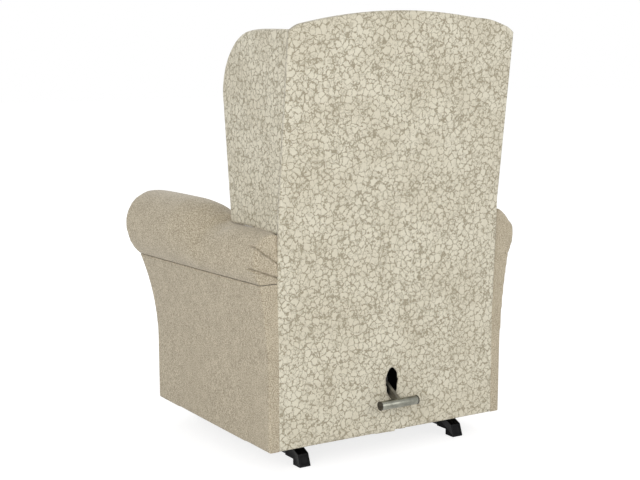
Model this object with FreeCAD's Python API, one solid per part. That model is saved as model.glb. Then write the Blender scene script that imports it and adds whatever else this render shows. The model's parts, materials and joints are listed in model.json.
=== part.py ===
import FreeCAD, Part
import math
import os

# Wing-back glider recliner on a hanging-link base, in millimetres.
# +Z is up, +X is the sitter's left, the sitter faces -Y.
# The origin is on the floor, under the middle of the upright chair's box.

V = FreeCAD.Vector

# Overall body
SEAT_WIDTH = 500.0
ARM_CORE_WIDTH = 70.0
ARM_LENGTH = 601.0
BACK_HEIGHT = 1082.0
REAR_PLANE_Y = 300.0
HEM_Z = 63.0
COVER_THICKNESS = 12.0
COVER_GAP = 0.7
REAR_GAP = 4.5

# Rolled arms: reach outside the arm core, top height and roll radius
ARM_HEIGHT = 628.0
SEAM_Z = 459.5
FLARE_START_Z = 200.0
FLARE_BOW_SHARE = 0.52
FRONT_STRIP = 29.0
REAR_STRIP = 24.0
FRONT_SEAM_REACH = 77.0
REAR_SEAM_REACH = 45.0
FRONT_FLARE = 11.0
REAR_FLARE = 5.0
INNER_ROLL_DROP = 60.0
FACING_THICKNESS = 6.0
FACING_INSET = 5.0
ARM_CORE_BOTTOM = 75.0
ROLL_FRONT_REACH = 117.0
ROLL_FRONT_RADIUS = 83.0
ROLL_PAD_REAR_Y = -60.0
ROLL_PAD_REACH = 107.0
ROLL_CREST_Y = 38.0
ROLL_CREST_REACH = 94.0
ROLL_CREST_DROP = 14.0
ROLL_CREST_RADIUS = 92.0
ROLL_SHOULDER_Y = 66.0
ROLL_SHOULDER_REACH = 84.0
ROLL_SHOULDER_DROP = 47.0
ROLL_SHOULDER_RADIUS = 71.0
ROLL_REAR_REACH = 61.0
ROLL_REAR_DROP = 55.0
ROLL_REAR_RADIUS = 54.0

# Seat
SEAT_RAIL_THICKNESS = 12.0
SEAT_RAIL_BOTTOM = 215.0
SEAT_RAIL_TOP = 325.0
SEAT_RAIL_FRONT_Y = -285.0
SEAT_RAIL_REAR_Y = 262.0
FRONT_RAIL_DEPTH = 50.0
FRONT_RAIL_FRONT_Y = -312.0
FRONT_RAIL_THICKNESS = 19.0
REAR_RAIL_FRONT_Y = 236.0
REAR_RAIL_DEPTH = 18.0
REAR_RAIL_BOTTOM = 285.0
REAR_RAIL_HEIGHT = 27.0
WEB_WIDTH = 50.0
WEB_THICKNESS = 2.5
WEB_PITCH = 92.0
WEB_COUNT = 5
SOFT_GAP = 0.3
CUSHION_SIDE_GAP = 4.0
CUSHION_FRONT_Y = -356.0
CUSHION_REAR_Y = 232.0
CUSHION_EDGE = 118.0
CUSHION_CROWN = 24.0
CUSHION_NOSE = 34.0
CUSHION_TUCK = 5.0

# Glide base
RAIL_WIDTH = 24.0
RAIL_HEIGHT = 20.0
RAIL_WALL = 2.0
RAIL_FLOOR_GAP = 16.0
RAIL_FRONT_Y = -250.0
RAIL_REAR_Y = 244.0
FOOT_WIDTH = 30.0
FOOT_TOP_WALL = 3.5
FOOT_FLOOR_WALL = 1.5
FOOT_TOE = 31.0
FOOT_TOE_CHAMFER = 2.0
FOOT_LEAN = 11.0
FOOT_BREAK_Z = 31.0
FOOT_TREAD = 34.0
FOOT_GRIP = 40.0
FOOT_RECESS_RIM = 5.0
FOOT_RECESS_DEPTH = 2.0
CROSS_TUBE = 20.0
CROSS_TUBE_Y = 165.0
HANGER_THICKNESS = 4.0
HANGER_WIDTH = 60.0
HANGER_FOOT_GAP = 2.0
HANGER_BOLT_PITCH = 36.0
BOLT_RADIUS = 4.0
BOLT_HEAD_HEIGHT = 4.0
BOLT_HEAD_RADIUS = 7.5
LINK_GAP = 5.0
LINK_THICKNESS = 5.0
LINK_RADIUS = 14.0
LINK_LENGTH = 110.0
LINK_LOWER_Z = 80.0
LINK_SPREAD_Y = 240.0
GLIDE_DEG = 22.0
MECH_GAP = 4.0
MECH_THICKNESS = 5.0
MECH_BOTTOM_MARGIN = 16.0
PIN_RADIUS = 6.0
PIN_HEAD = 3.0
PIN_HEAD_RADIUS = 10.0
PIN_CLEARANCE = 0.05
FACE_CLEARANCE = 0.3
END_CLIP = 1.5

# Reclining back
PIVOT_Y = 270.0
PIVOT_Z = 328.0
PIVOT_EYE = 16.0
PANEL_BOTTOM_DROP = 4.0
FLAP_TOP_DROP = 19.0
KNEE_Z = 620.0
KNEE_OUT = 13.0
TOP_OUT = 70.0
ARCH_END_DROP = 48.0
ARCH_SHOULDER_DROP = 31.0
ARCH_SHOULDER_INSET = 34.0
ARCH_BOW_OUT = 3.0
ARCH_BOW_UP = 4.0
POST_WIDTH = 30.0
POST_DEPTH = 32.0
POST_BOTTOM_RISE = 17.0
POST_TOP_DROP = 80.0
BACK_RAIL_HEIGHT = 50.0
BACK_RAIL_ZS = (352.0, 640.0, 950.0)
BRACKET_GAP = 2.0
BRACKET_WIDTH = 28.0
BRACKET_HEIGHT = 130.0
BACK_CUSHION_BOTTOM = 470.0
BACK_CUSHION_TOP_DROP = 26.0
BACK_CUSHION_EDGE = 92.0
BACK_CUSHION_FOOT_ROUND = 30.0
BACK_CUSHION_FOOT_INSET = 10.0
BACK_CUSHION_STEP = 22.0
BACK_CUSHION_WAIST_INSET = 3.0
BACK_CUSHION_WAIST_DEPTH = 8.0
BACK_CUSHION_NECK_DEPTH = 10.0
BACK_CUSHION_LEDGE = 1.0
BACK_CUSHION_SHOULDER = 15.0
BACK_CUSHION_SHOULDER_INSET = 12.0
BACK_CUSHION_SHOULDER_DEPTH = 24.0
BACK_CUSHION_TOP_INSET = 40.0
BACK_CUSHION_TOP_DEPTH = 52.0
BACK_CUSHION_CROWN = 30.0
BACK_CUSHION_SIDE_GAP = 4.0
WING_THICKNESS = 55.0
WING_GAP = 2.0
WING_FALL = 6.0
WING_FRONT_Y = 70.0
WING_LEAN = 33.0
WING_TOP_DROP = 42.0
WING_CORNER = 150.0
WING_ROUND = 12.0
WING_SIDE_INSET = 4.0

# Footrest
FOOT_PIVOT_Y = -230.0
FOOT_PIVOT_Z = 290.0
FOOT_PIVOT_COVER = 15.0
FOOT_LINK_LENGTH = 190.0
FOOT_LINK_REST_DEG = 80.0
FOOT_LINK_GAP = 2.0
FOOT_LINK_THICKNESS = 5.0
FOOT_BOARD_GAP = 19.0
FOOT_BOARD_THICKNESS = 18.0
FOOT_BOARD_RISE = 28.0
FOOT_BOARD_HEIGHT = 233.0
FOOT_BOARD_SIDE_GAP = 8.0
FOOT_PAD_EDGE = 24.0
FOOT_PAD_CROWN = 13.0
FOOT_PAD_INSET = 10.0
FOOT_BRACKET_REACH = 60.0

# Glide lock lever
LEVER_PIVOT_Y = 262.0
LEVER_PIVOT_Z = 182.0
LEVER_THICKNESS = 8.0
LEVER_HALF_HEIGHT = 10.0
LEVER_BOSS_RADIUS = 14.0
LEVER_PIN_RADIUS = 5.0
LEVER_PIN_HEAD_RADIUS = 8.0
LEVER_PLAY = 0.5
LEVER_TRAVEL_DEG = 40.0
HANDLE_OUT = 72.0
HANDLE_DROP = 43.0
HANDLE_LENGTH = 107.0
HANDLE_RADIUS = 11.0
HANDLE_WALL = 2.0
BRAKE_ARM_REACH = 70.0
BRAKE_ARM_RISE = 20.0
SHOE_LENGTH = 40.0
SHOE_WIDTH = 28.0
SHOE_HEIGHT = 15.0
SHOE_GRIP = 4.0
BRAKE_GAP = 0.6
BRAKE_PLATE_LENGTH = 112.0
BRAKE_PLATE_CLEARANCE = 4.0
BRAKE_PLATE_WIDTH = 50.0
BRAKE_PLATE_THICKNESS = 6.0
BRAKE_POST_WIDTH = 40.0
LEVER_BRACKET_THICKNESS = 4.0
LEVER_BRACKET_MARGIN = 14.0
SLOT_WIDTH = 31.0
SLOT_BOTTOM = 147.0
SLOT_TOP = 217.0
BOTTOM_RAIL_DEPTH = 26.0
BOTTOM_RAIL_BOTTOM = 70.0
BOTTOM_RAIL_HEIGHT = 42.0

# Stations worked out from the driving sizes
ARM_INNER_X = SEAT_WIDTH / 2
CORE_X = ARM_INNER_X + ARM_CORE_WIDTH
COVER_X = CORE_X - COVER_GAP
ARM_FRONT_Y = REAR_PLANE_Y - ARM_LENGTH
ARM_BODY_FRONT_Y = ARM_FRONT_Y + FACING_THICKNESS
COVER_INNER_Y = REAR_PLANE_Y - COVER_THICKNESS
ARM_REAR_Y = COVER_INNER_Y - REAR_GAP
MECH_OUTER_X = ARM_INNER_X - SEAT_RAIL_THICKNESS
MECH_X = MECH_OUTER_X - MECH_THICKNESS
LINK_OUTER_X = MECH_X - MECH_GAP
LINK_X = LINK_OUTER_X - LINK_THICKNESS
RAIL_X = LINK_X - LINK_GAP
HANGER_X = RAIL_X - HANGER_THICKNESS
RAIL_TOP = RAIL_FLOOR_GAP + RAIL_HEIGHT
RAIL_MID_Z = RAIL_FLOOR_GAP + RAIL_HEIGHT / 2
FOOT_TOP = RAIL_TOP + FOOT_TOP_WALL
LINK_UPPER_Z = LINK_LOWER_Z + LINK_LENGTH
LINK_YS = (-LINK_SPREAD_Y / 2, LINK_SPREAD_Y / 2)
BRACKET_OUTER_X = MECH_X - BRACKET_GAP
POST_OUTER_X = BRACKET_OUTER_X - MECH_THICKNESS
POST_X = POST_OUTER_X - POST_WIDTH
THIGH_OUTER_X = MECH_X - FOOT_LINK_GAP
THIGH_X = THIGH_OUTER_X - FOOT_LINK_THICKNESS
SHIN_OUTER_X = THIGH_X - FOOT_LINK_GAP
SHIN_X = SHIN_OUTER_X - FOOT_LINK_THICKNESS
LUG_OUTER_X = SHIN_X - FOOT_LINK_GAP
LUG_X = LUG_OUTER_X - FOOT_LINK_THICKNESS
HOLE_RADIUS = PIN_RADIUS + PIN_CLEARANCE


# Drawing helpers

def at_x(x):
    """Place an outline's (y, z) points on the plane at x."""
    return lambda p: V(x, p[0], p[1])


def at_y(y):
    """Place an outline's (x, z) points on the plane at y."""
    return lambda p: V(p[0], y, p[1])


def at_z(z):
    """Place an outline's (x, y) points on the plane at z."""
    return lambda p: V(p[0], p[1], z)


def outline(place, start, steps):
    """A closed wire: a step of one point is a line, of two points an arc through the first."""
    edges = []
    here = start
    for step in steps + [(start,)]:
        end = step[-1]
        if math.dist(here, end) < 1e-6:
            continue
        if len(step) == 1:
            edges.append(Part.LineSegment(place(here), place(end)).toShape())
        else:
            edges.append(Part.Arc(place(here), place(step[0]), place(end)).toShape())
        here = end
    return Part.Wire(edges)


def polygon(place, points):
    return outline(place, points[0], [(p,) for p in points[1:]])


def extrude(wire, along):
    return Part.Face(wire).extrude(along)


def box(x0, x1, y0, y1, z0, z1):
    return Part.makeBox(x1 - x0, y1 - y0, z1 - z0, V(x0, y0, z0))


def rod_x(y, z, radius, x0, x1):
    return Part.makeCylinder(radius, x1 - x0, V(x0, y, z), V(1, 0, 0))


def bar_x(a, b, radius, x0, x1):
    """A flat bar with round ends between two (y, z) points."""
    turn = math.atan2(b[1] - a[1], b[0] - a[0])
    side = (-math.sin(turn) * radius, math.cos(turn) * radius)
    tip = (math.cos(turn) * radius, math.sin(turn) * radius)
    start = (a[0] + side[0], a[1] + side[1])
    steps = [((b[0] + side[0], b[1] + side[1]),),
             ((b[0] + tip[0], b[1] + tip[1]), (b[0] - side[0], b[1] - side[1])),
             ((a[0] - side[0], a[1] - side[1]),),
             ((a[0] - tip[0], a[1] - tip[1]), start)]
    return extrude(outline(at_x(x0), start, steps), V(x1 - x0, 0, 0))


def arc_middle(centre, radius, a, b):
    """The point halfway along the short arc from a to b about a centre."""
    mid = ((a[0] + b[0]) / 2 - centre[0], (a[1] + b[1]) / 2 - centre[1])
    scale = radius / math.hypot(mid[0], mid[1])
    return (centre[0] + mid[0] * scale, centre[1] + mid[1] * scale)


def mirrored(shape):
    return shape.mirror(V(0, 0, 0), V(1, 0, 0))


def pair(shape):
    return Part.makeCompound([shape, mirrored(shape)])


def save(name, shape):
    shape.exportStep("parts/" + name + ".step")


def save_sides(name, left):
    save(name + "_left", left)
    save(name + "_right", mirrored(left))


# Base: rails, boots, cross tubes and hangers

def base_rail():
    outer = box(RAIL_X, RAIL_X + RAIL_WIDTH, RAIL_FRONT_Y, RAIL_REAR_Y, RAIL_FLOOR_GAP, RAIL_TOP)
    bore = box(RAIL_X + RAIL_WALL, RAIL_X + RAIL_WIDTH - RAIL_WALL, RAIL_FRONT_Y, RAIL_REAR_Y,
               RAIL_FLOOR_GAP + RAIL_WALL, RAIL_TOP - RAIL_WALL)
    rail = outer.cut(bore)
    for y, z in hanger_bolt_points():
        rail = rail.cut(rod_x(y, z, BOLT_RADIUS + PIN_CLEARANCE, RAIL_X, RAIL_X + RAIL_WALL))
    return rail


def foot(end_y, outward):
    """A moulded boot over a rail's end; outward is +1 at the rear and -1 at the front."""
    heel = FOOT_TOE - FOOT_TREAD
    sleeve_z = RAIL_FLOOR_GAP - FOOT_FLOOR_WALL
    low = (FOOT_TOE, FOOT_TOE_CHAMFER)
    high = (FOOT_TOE - FOOT_LEAN, FOOT_BREAK_Z)
    profile = [(heel, 0), (FOOT_TOE - FOOT_TOE_CHAMFER, 0), low, high, (0, FOOT_TOP),
               (-FOOT_GRIP, FOOT_TOP), (-FOOT_GRIP, sleeve_z), (heel, sleeve_z)]
    length = math.dist(low, high)
    along = ((high[0] - low[0]) / length, (high[1] - low[1]) / length)

    def on_face(way, depth):
        """A point on the toe's sloping face, way along it from the ground and depth inside it."""
        return (low[0] + along[0] * way - along[1] * depth, low[1] + along[1] * way + along[0] * depth)

    def placed(points):
        return [(end_y + outward * s, z) for s, z in points]

    x0 = RAIL_X + RAIL_WIDTH / 2 - FOOT_WIDTH / 2
    boot = extrude(polygon(at_x(x0), placed(profile)), V(FOOT_WIDTH, 0, 0))
    ways = (FOOT_RECESS_RIM, length - FOOT_RECESS_RIM)
    corners = [on_face(ways[0], -FOOT_RECESS_DEPTH), on_face(ways[1], -FOOT_RECESS_DEPTH),
               on_face(ways[1], FOOT_RECESS_DEPTH), on_face(ways[0], FOOT_RECESS_DEPTH)]
    recess = extrude(polygon(at_x(x0 + FOOT_RECESS_RIM), placed(corners)),
                     V(FOOT_WIDTH - 2 * FOOT_RECESS_RIM, 0, 0))
    boot = boot.cut(recess)
    inner_y = end_y - outward * (FOOT_GRIP + FOOT_TOE)
    pocket = box(RAIL_X, RAIL_X + RAIL_WIDTH, min(end_y, inner_y), max(end_y, inner_y),
                 RAIL_FLOOR_GAP, RAIL_TOP)
    return boot.cut(pocket)


def cross_tube(y):
    half = CROSS_TUBE / 2
    outer = box(-RAIL_X, RAIL_X, y - half, y + half, RAIL_MID_Z - half, RAIL_MID_Z + half)
    inner = half - RAIL_WALL
    bore = box(-RAIL_X, RAIL_X, y - inner, y + inner, RAIL_MID_Z - inner, RAIL_MID_Z + inner)
    return outer.cut(bore)


def hanger_bolt_points():
    return [(y + side * HANGER_BOLT_PITCH / 2, RAIL_MID_Z) for y in LINK_YS for side in (-1, 1)]


def hangers():
    plates = []
    for y in LINK_YS:
        half = HANGER_WIDTH / 2
        foot_z = RAIL_FLOOR_GAP + HANGER_FOOT_GAP
        waist = (LINK_UPPER_Z + RAIL_TOP) / 2
        steps = [((y + half, foot_z),), ((y + half, RAIL_TOP),), ((y + PIVOT_EYE, waist),),
                 ((y + PIVOT_EYE, LINK_UPPER_Z),),
                 ((y, LINK_UPPER_Z + PIVOT_EYE), (y - PIVOT_EYE, LINK_UPPER_Z)),
                 ((y - PIVOT_EYE, waist),), ((y - half, RAIL_TOP),)]
        wire = outline(at_x(HANGER_X), (y - half, foot_z), steps)
        plate = extrude(wire, V(HANGER_THICKNESS, 0, 0))
        plate = plate.cut(rod_x(y, LINK_UPPER_Z, HOLE_RADIUS, HANGER_X, RAIL_X))
        for bolt_y, bolt_z in hanger_bolt_points():
            plate = plate.cut(rod_x(bolt_y, bolt_z, BOLT_RADIUS + PIN_CLEARANCE, HANGER_X, RAIL_X))
        plates.append(plate)
    return Part.makeCompound(plates)


def hex_bolt(y, z):
    corners = [(y + BOLT_HEAD_RADIUS * math.cos(k * math.pi / 3),
                z + BOLT_HEAD_RADIUS * math.sin(k * math.pi / 3)) for k in range(6)]
    head = extrude(polygon(at_x(HANGER_X - BOLT_HEAD_HEIGHT), corners), V(BOLT_HEAD_HEIGHT, 0, 0))
    return head.fuse(rod_x(y, z, BOLT_RADIUS, HANGER_X, RAIL_X + RAIL_WALL)).removeSplitter()


def hanger_bolts():
    bolts = Part.makeCompound([hex_bolt(y, z) for y, z in hanger_bolt_points()])
    return pair(bolts)


def upper_pin(y):
    """Headed pin of a hanger: shoulder between hanger and link, clip outside the link."""
    z = LINK_UPPER_Z
    pin = rod_x(y, z, PIN_RADIUS, HANGER_X, LINK_OUTER_X + FACE_CLEARANCE)
    head = rod_x(y, z, PIN_HEAD_RADIUS, HANGER_X - PIN_HEAD, HANGER_X)
    shoulder = rod_x(y, z, PIN_HEAD_RADIUS, RAIL_X, LINK_X - FACE_CLEARANCE)
    clip_x = LINK_OUTER_X + FACE_CLEARANCE
    clip = rod_x(y, z, PIN_HEAD_RADIUS, clip_x, clip_x + END_CLIP)
    return pin.multiFuse([head, shoulder, clip]).removeSplitter()


def lower_pin(y):
    """Headed pin of a seat side plate: its head is inside the link."""
    z = LINK_LOWER_Z
    head_x = LINK_X - FACE_CLEARANCE
    pin = rod_x(y, z, PIN_RADIUS, head_x, MECH_OUTER_X)
    head = rod_x(y, z, PIN_HEAD_RADIUS, head_x - PIN_HEAD, head_x)
    shoulder = rod_x(y, z, PIN_HEAD_RADIUS, LINK_OUTER_X + FACE_CLEARANCE, MECH_X)
    return pin.multiFuse([head, shoulder]).removeSplitter()


def glide_link(y):
    bar = bar_x((y, LINK_LOWER_Z), (y, LINK_UPPER_Z), LINK_RADIUS, LINK_X, LINK_OUTER_X)
    for z in (LINK_LOWER_Z, LINK_UPPER_Z):
        bar = bar.cut(rod_x(y, z, HOLE_RADIUS, LINK_X, LINK_OUTER_X))
    return bar


# Seat: side plates, rails, webbing and cushion

def mech_plate():
    bottom = LINK_LOWER_Z - MECH_BOTTOM_MARGIN
    reach = LINK_SPREAD_Y / 2 + 2 * PIVOT_EYE
    top = FOOT_PIVOT_Z + FOOT_PIVOT_COVER
    points = [(-reach, bottom), (reach, bottom), (reach, SEAT_RAIL_BOTTOM),
              (PIVOT_Y + PIVOT_EYE, PIVOT_Z - PIVOT_EYE / 2), (PIVOT_Y + PIVOT_EYE, PIVOT_Z),
              (PIVOT_Y, PIVOT_Z + PIVOT_EYE), (PIVOT_Y - PIVOT_EYE, PIVOT_Z),
              (PIVOT_Y - 2 * PIVOT_EYE, top), (FOOT_PIVOT_Y, top), (FOOT_PIVOT_Y - PIVOT_EYE, FOOT_PIVOT_Z),
              (FOOT_PIVOT_Y, FOOT_PIVOT_Z - PIVOT_EYE), (-reach, SEAT_RAIL_BOTTOM)]
    plate = extrude(polygon(at_x(MECH_X), points), V(MECH_THICKNESS, 0, 0))
    holes = [(y, LINK_LOWER_Z) for y in LINK_YS] + [(PIVOT_Y, PIVOT_Z), (FOOT_PIVOT_Y, FOOT_PIVOT_Z)]
    for y, z in holes:
        plate = plate.cut(rod_x(y, z, HOLE_RADIUS, MECH_X, MECH_OUTER_X))
    return plate


def seat_rail():
    return box(MECH_OUTER_X, ARM_INNER_X, SEAT_RAIL_FRONT_Y, SEAT_RAIL_REAR_Y,
               SEAT_RAIL_BOTTOM, SEAT_RAIL_TOP)


def seat_front_rail():
    return box(-MECH_OUTER_X, MECH_OUTER_X, FRONT_RAIL_FRONT_Y, FRONT_RAIL_FRONT_Y + FRONT_RAIL_DEPTH,
               SEAT_RAIL_TOP - FRONT_RAIL_THICKNESS, SEAT_RAIL_TOP)


def seat_rear_rail():
    return box(-MECH_X, MECH_X, REAR_RAIL_FRONT_Y, REAR_RAIL_FRONT_Y + REAR_RAIL_DEPTH,
               REAR_RAIL_BOTTOM, REAR_RAIL_BOTTOM + REAR_RAIL_HEIGHT)


def seat_webbing():
    straps = []
    for k in range(WEB_COUNT):
        y = (k - (WEB_COUNT - 1) / 2) * WEB_PITCH
        straps.append(box(-MECH_OUTER_X, MECH_OUTER_X, y - WEB_WIDTH / 2, y + WEB_WIDTH / 2,
                          SEAT_RAIL_TOP - WEB_THICKNESS, SEAT_RAIL_TOP))
    return Part.makeCompound(straps)


def cushion_section(place, half, low, edge, crown):
    """Flat underside, upright sides and an arched top."""
    steps = [((half, low),), ((half, edge),), ((0, crown), (-half, edge))]
    return outline(place, (-half, low), steps)


def seat_cushion():
    low = SEAT_RAIL_TOP + SOFT_GAP
    edge = low + CUSHION_EDGE
    crown = edge + CUSHION_CROWN
    half = ARM_INNER_X - CUSHION_SIDE_GAP
    middle = (CUSHION_FRONT_Y + CUSHION_REAR_Y) / 2
    nose = CUSHION_NOSE
    stations = [(CUSHION_FRONT_Y, half - CUSHION_TUCK, low + nose, edge - nose, crown - nose),
                (CUSHION_FRONT_Y + nose / 3, half, low + nose / 3, edge - nose / 3, crown - nose / 2),
                (CUSHION_FRONT_Y + nose, half, low, edge, crown - CUSHION_CROWN / 3),
                (middle, half - CUSHION_TUCK, low, edge, crown),
                (CUSHION_REAR_Y - nose, half, low, edge, crown - CUSHION_CROWN / 3),
                (CUSHION_REAR_Y, half - CUSHION_TUCK, low + CUSHION_TUCK, edge - nose, crown - nose)]
    wires = [cushion_section(at_y(y), h, lo, e, c) for y, h, lo, e, c in stations]
    return Part.makeLoft(wires, True, True)


# Rolled arms

def roll_section(reach, top, radius, seam_reach):
    """Steps of the roll from its inner foot round to the seam, as (start, steps)."""
    centre = (CORE_X + reach - radius, top - radius)
    crest = (centre[0], top)
    brow = (CORE_X + reach, centre[1])
    inner = (ARM_INNER_X, top - INNER_ROLL_DROP)
    seam = (CORE_X + seam_reach, SEAM_Z)
    span = crest[0] - inner[0]
    inner_radius = (span ** 2 + INNER_ROLL_DROP ** 2) / (2 * INNER_ROLL_DROP)
    inner_mid = arc_middle((crest[0], top - inner_radius), inner_radius, inner, crest)
    outer_mid = arc_middle(centre, radius, crest, brow)
    tuck = brow[0] - seam[0]
    fall = brow[1] - seam[1]
    tuck_radius = (tuck ** 2 + fall ** 2) / (2 * tuck)
    tuck_mid = arc_middle((brow[0] - tuck_radius, brow[1]), tuck_radius, brow, seam)
    steps = [(inner,), (inner_mid, crest), (outer_mid, brow), (tuck_mid, seam)]
    return (ARM_INNER_X, SEAM_Z), steps


def side_steps(strip, flare, seam_reach):
    """Steps of the flared outer side from the seam down to the hem."""
    seam = (CORE_X + seam_reach, SEAM_Z)
    foot_point = (CORE_X + strip, FLARE_START_Z)
    middle = (CORE_X + strip + flare, FLARE_START_Z + (SEAM_Z - FLARE_START_Z) * FLARE_BOW_SHARE)
    return seam, [(middle, foot_point), ((CORE_X + strip, HEM_Z),)]


def seam_reach_at(y):
    share = (y - ARM_FRONT_Y) / ARM_LENGTH
    return FRONT_SEAM_REACH + (REAR_SEAM_REACH - FRONT_SEAM_REACH) * share


def rear_notch():
    """Room for the back's cover behind the arm core."""
    return box(0, CORE_X, ARM_REAR_Y, REAR_PLANE_Y + TOP_OUT, 0, BACK_HEIGHT)


def arm_roll():
    stations = [(ARM_BODY_FRONT_Y, ROLL_FRONT_REACH, 0.0, ROLL_FRONT_RADIUS),
                (ROLL_PAD_REAR_Y, ROLL_PAD_REACH, 0.0, ROLL_FRONT_RADIUS),
                (ROLL_CREST_Y, ROLL_CREST_REACH, ROLL_CREST_DROP, ROLL_CREST_RADIUS),
                (ROLL_SHOULDER_Y, ROLL_SHOULDER_REACH, ROLL_SHOULDER_DROP, ROLL_SHOULDER_RADIUS),
                (REAR_PLANE_Y, ROLL_REAR_REACH, ROLL_REAR_DROP, ROLL_REAR_RADIUS)]
    wires = []
    for y, reach, drop, radius in stations:
        start, steps = roll_section(reach, ARM_HEIGHT - drop, radius, seam_reach_at(y))
        wires.append(outline(at_y(y), start, steps))
    return Part.makeLoft(wires, True, True).cut(rear_notch())


def arm_side():
    """Flared outer side panel under the roll."""
    wires = []
    stations = [(ARM_BODY_FRONT_Y, FRONT_STRIP, FRONT_FLARE), (REAR_PLANE_Y, REAR_STRIP, REAR_FLARE)]
    for y, strip, flare in stations:
        start, steps = side_steps(strip, flare, seam_reach_at(y))
        wires.append(outline(at_y(y), start, steps + [((CORE_X, HEM_Z),), ((CORE_X, SEAM_Z),)]))
    return Part.makeLoft(wires, True, True)


def arm_core():
    return box(ARM_INNER_X, CORE_X, ARM_BODY_FRONT_Y, ARM_REAR_Y, ARM_CORE_BOTTOM, SEAM_Z)


def arm_facing():
    """Front scroll panel of an arm."""
    seam_reach = FRONT_SEAM_REACH - FACING_INSET
    start, steps = roll_section(ROLL_FRONT_REACH - FACING_INSET, ARM_HEIGHT - FACING_INSET,
                                ROLL_FRONT_RADIUS - FACING_INSET, seam_reach)
    seam, side = side_steps(FRONT_STRIP - FACING_INSET, FRONT_FLARE, seam_reach)
    wire = outline(at_y(ARM_FRONT_Y), start, steps + side + [((ARM_INNER_X, HEM_Z),)])
    return extrude(wire, V(0, FACING_THICKNESS, 0))


# Outside back

def cover_y(z):
    """Rear face of the outside back at height z."""
    if z <= PIVOT_Z:
        return REAR_PLANE_Y
    if z <= KNEE_Z:
        return REAR_PLANE_Y + KNEE_OUT * (z - PIVOT_Z) / (KNEE_Z - PIVOT_Z)
    return REAR_PLANE_Y + KNEE_OUT + (TOP_OUT - KNEE_OUT) * (z - KNEE_Z) / (BACK_HEIGHT - KNEE_Z)


def raked(inset, depth, z0, z1, x0, x1):
    """A piece that follows the outside back's rake, inset from its rear face."""
    heights = [z0] + [z for z in (PIVOT_Z, KNEE_Z) if z0 < z < z1] + [z1]
    rear = [(cover_y(z) - inset, z) for z in heights]
    front = [(y - depth, z) for y, z in reversed(rear)]
    return extrude(polygon(at_x(x0), rear + front), V(x1 - x0, 0, 0))


def arch_prism():
    """The outside back's front outline, with an arched top and soft shoulders."""
    end_z = BACK_HEIGHT - ARCH_END_DROP
    shoulder = (COVER_X - ARCH_SHOULDER_INSET, BACK_HEIGHT - ARCH_SHOULDER_DROP)
    end = (COVER_X, end_z)
    lift = ((shoulder[0] + end[0]) / 2 + ARCH_BOW_OUT, (shoulder[1] + end[1]) / 2 + ARCH_BOW_UP)
    steps = [((COVER_X, 0),), (end,), (lift, shoulder),
             ((0, BACK_HEIGHT), (-shoulder[0], shoulder[1])),
             ((-lift[0], lift[1]), (-end[0], end_z))]
    wire = outline(at_y(0), (-COVER_X, 0), steps)
    return extrude(wire, V(0, REAR_PLANE_Y + 2 * TOP_OUT, 0))


def outside_back():
    panel = raked(0, COVER_THICKNESS, PIVOT_Z - PANEL_BOTTOM_DROP, BACK_HEIGHT, -COVER_X, COVER_X)
    return panel.common(arch_prism())


def rear_flap():
    """Lower part of the outside back, with the lever's slot."""
    flap = box(-COVER_X, COVER_X, COVER_INNER_Y, REAR_PLANE_Y, HEM_Z, PIVOT_Z - FLAP_TOP_DROP)
    half = SLOT_WIDTH / 2
    low = SLOT_BOTTOM + half
    high = SLOT_TOP - SLOT_WIDTH
    steps = [((half, high),), ((0, SLOT_TOP),), ((-half, high),), ((-half, low),),
             ((0, SLOT_BOTTOM), (half, low))]
    slot = outline(at_y(COVER_INNER_Y), (half, low), steps)
    return flap.cut(extrude(slot, V(0, COVER_THICKNESS, 0)))


def bottom_rail():
    return box(-ARM_INNER_X, ARM_INNER_X, COVER_INNER_Y - BOTTOM_RAIL_DEPTH, COVER_INNER_Y,
               BOTTOM_RAIL_BOTTOM, BOTTOM_RAIL_BOTTOM + BOTTOM_RAIL_HEIGHT)


# Reclining back

def back_post():
    return raked(COVER_THICKNESS, POST_DEPTH, PIVOT_Z + POST_BOTTOM_RISE, BACK_HEIGHT - POST_TOP_DROP,
                 POST_X, POST_OUTER_X)


def back_rails():
    rails = [raked(COVER_THICKNESS, POST_DEPTH, z, z + BACK_RAIL_HEIGHT, -POST_X, POST_X)
             for z in BACK_RAIL_ZS]
    return Part.makeCompound(rails)


def back_bracket():
    """Steel eye plate that joins a back post to the recline pin."""
    top = PIVOT_Z + BRACKET_HEIGHT
    half = BRACKET_WIDTH / 2
    steps = [((PIVOT_Y + half, top),), ((PIVOT_Y - half, top),), ((PIVOT_Y - half, PIVOT_Z),),
             ((PIVOT_Y, PIVOT_Z - half), (PIVOT_Y + half, PIVOT_Z))]
    wire = outline(at_x(POST_OUTER_X), (PIVOT_Y + half, PIVOT_Z), steps)
    plate = extrude(wire, V(MECH_THICKNESS, 0, 0))
    return plate.cut(rod_x(PIVOT_Y, PIVOT_Z, HOLE_RADIUS, POST_OUTER_X, BRACKET_OUTER_X))


def recline_pin():
    head_x = POST_OUTER_X - FACE_CLEARANCE
    pin = rod_x(PIVOT_Y, PIVOT_Z, PIN_RADIUS, head_x, MECH_OUTER_X)
    head = rod_x(PIVOT_Y, PIVOT_Z, PIN_HEAD_RADIUS, head_x - PIN_HEAD, head_x)
    return pin.fuse(head).removeSplitter()


def back_cushion_section(z, half, edge, crown):
    """Flat against the posts, or the cover above them, with upright sides and an arched front."""
    post_face = cover_y(z) - COVER_THICKNESS - POST_DEPTH - SOFT_GAP
    over_posts = z > BACK_HEIGHT - POST_TOP_DROP + SOFT_GAP
    rear = cover_y(z) - COVER_THICKNESS - SOFT_GAP if over_posts else post_face
    front = post_face - edge
    steps = [((half, rear),), ((half, front),), ((0, front - crown), (-half, front))]
    return outline(at_z(z), (-half, rear), steps)


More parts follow.
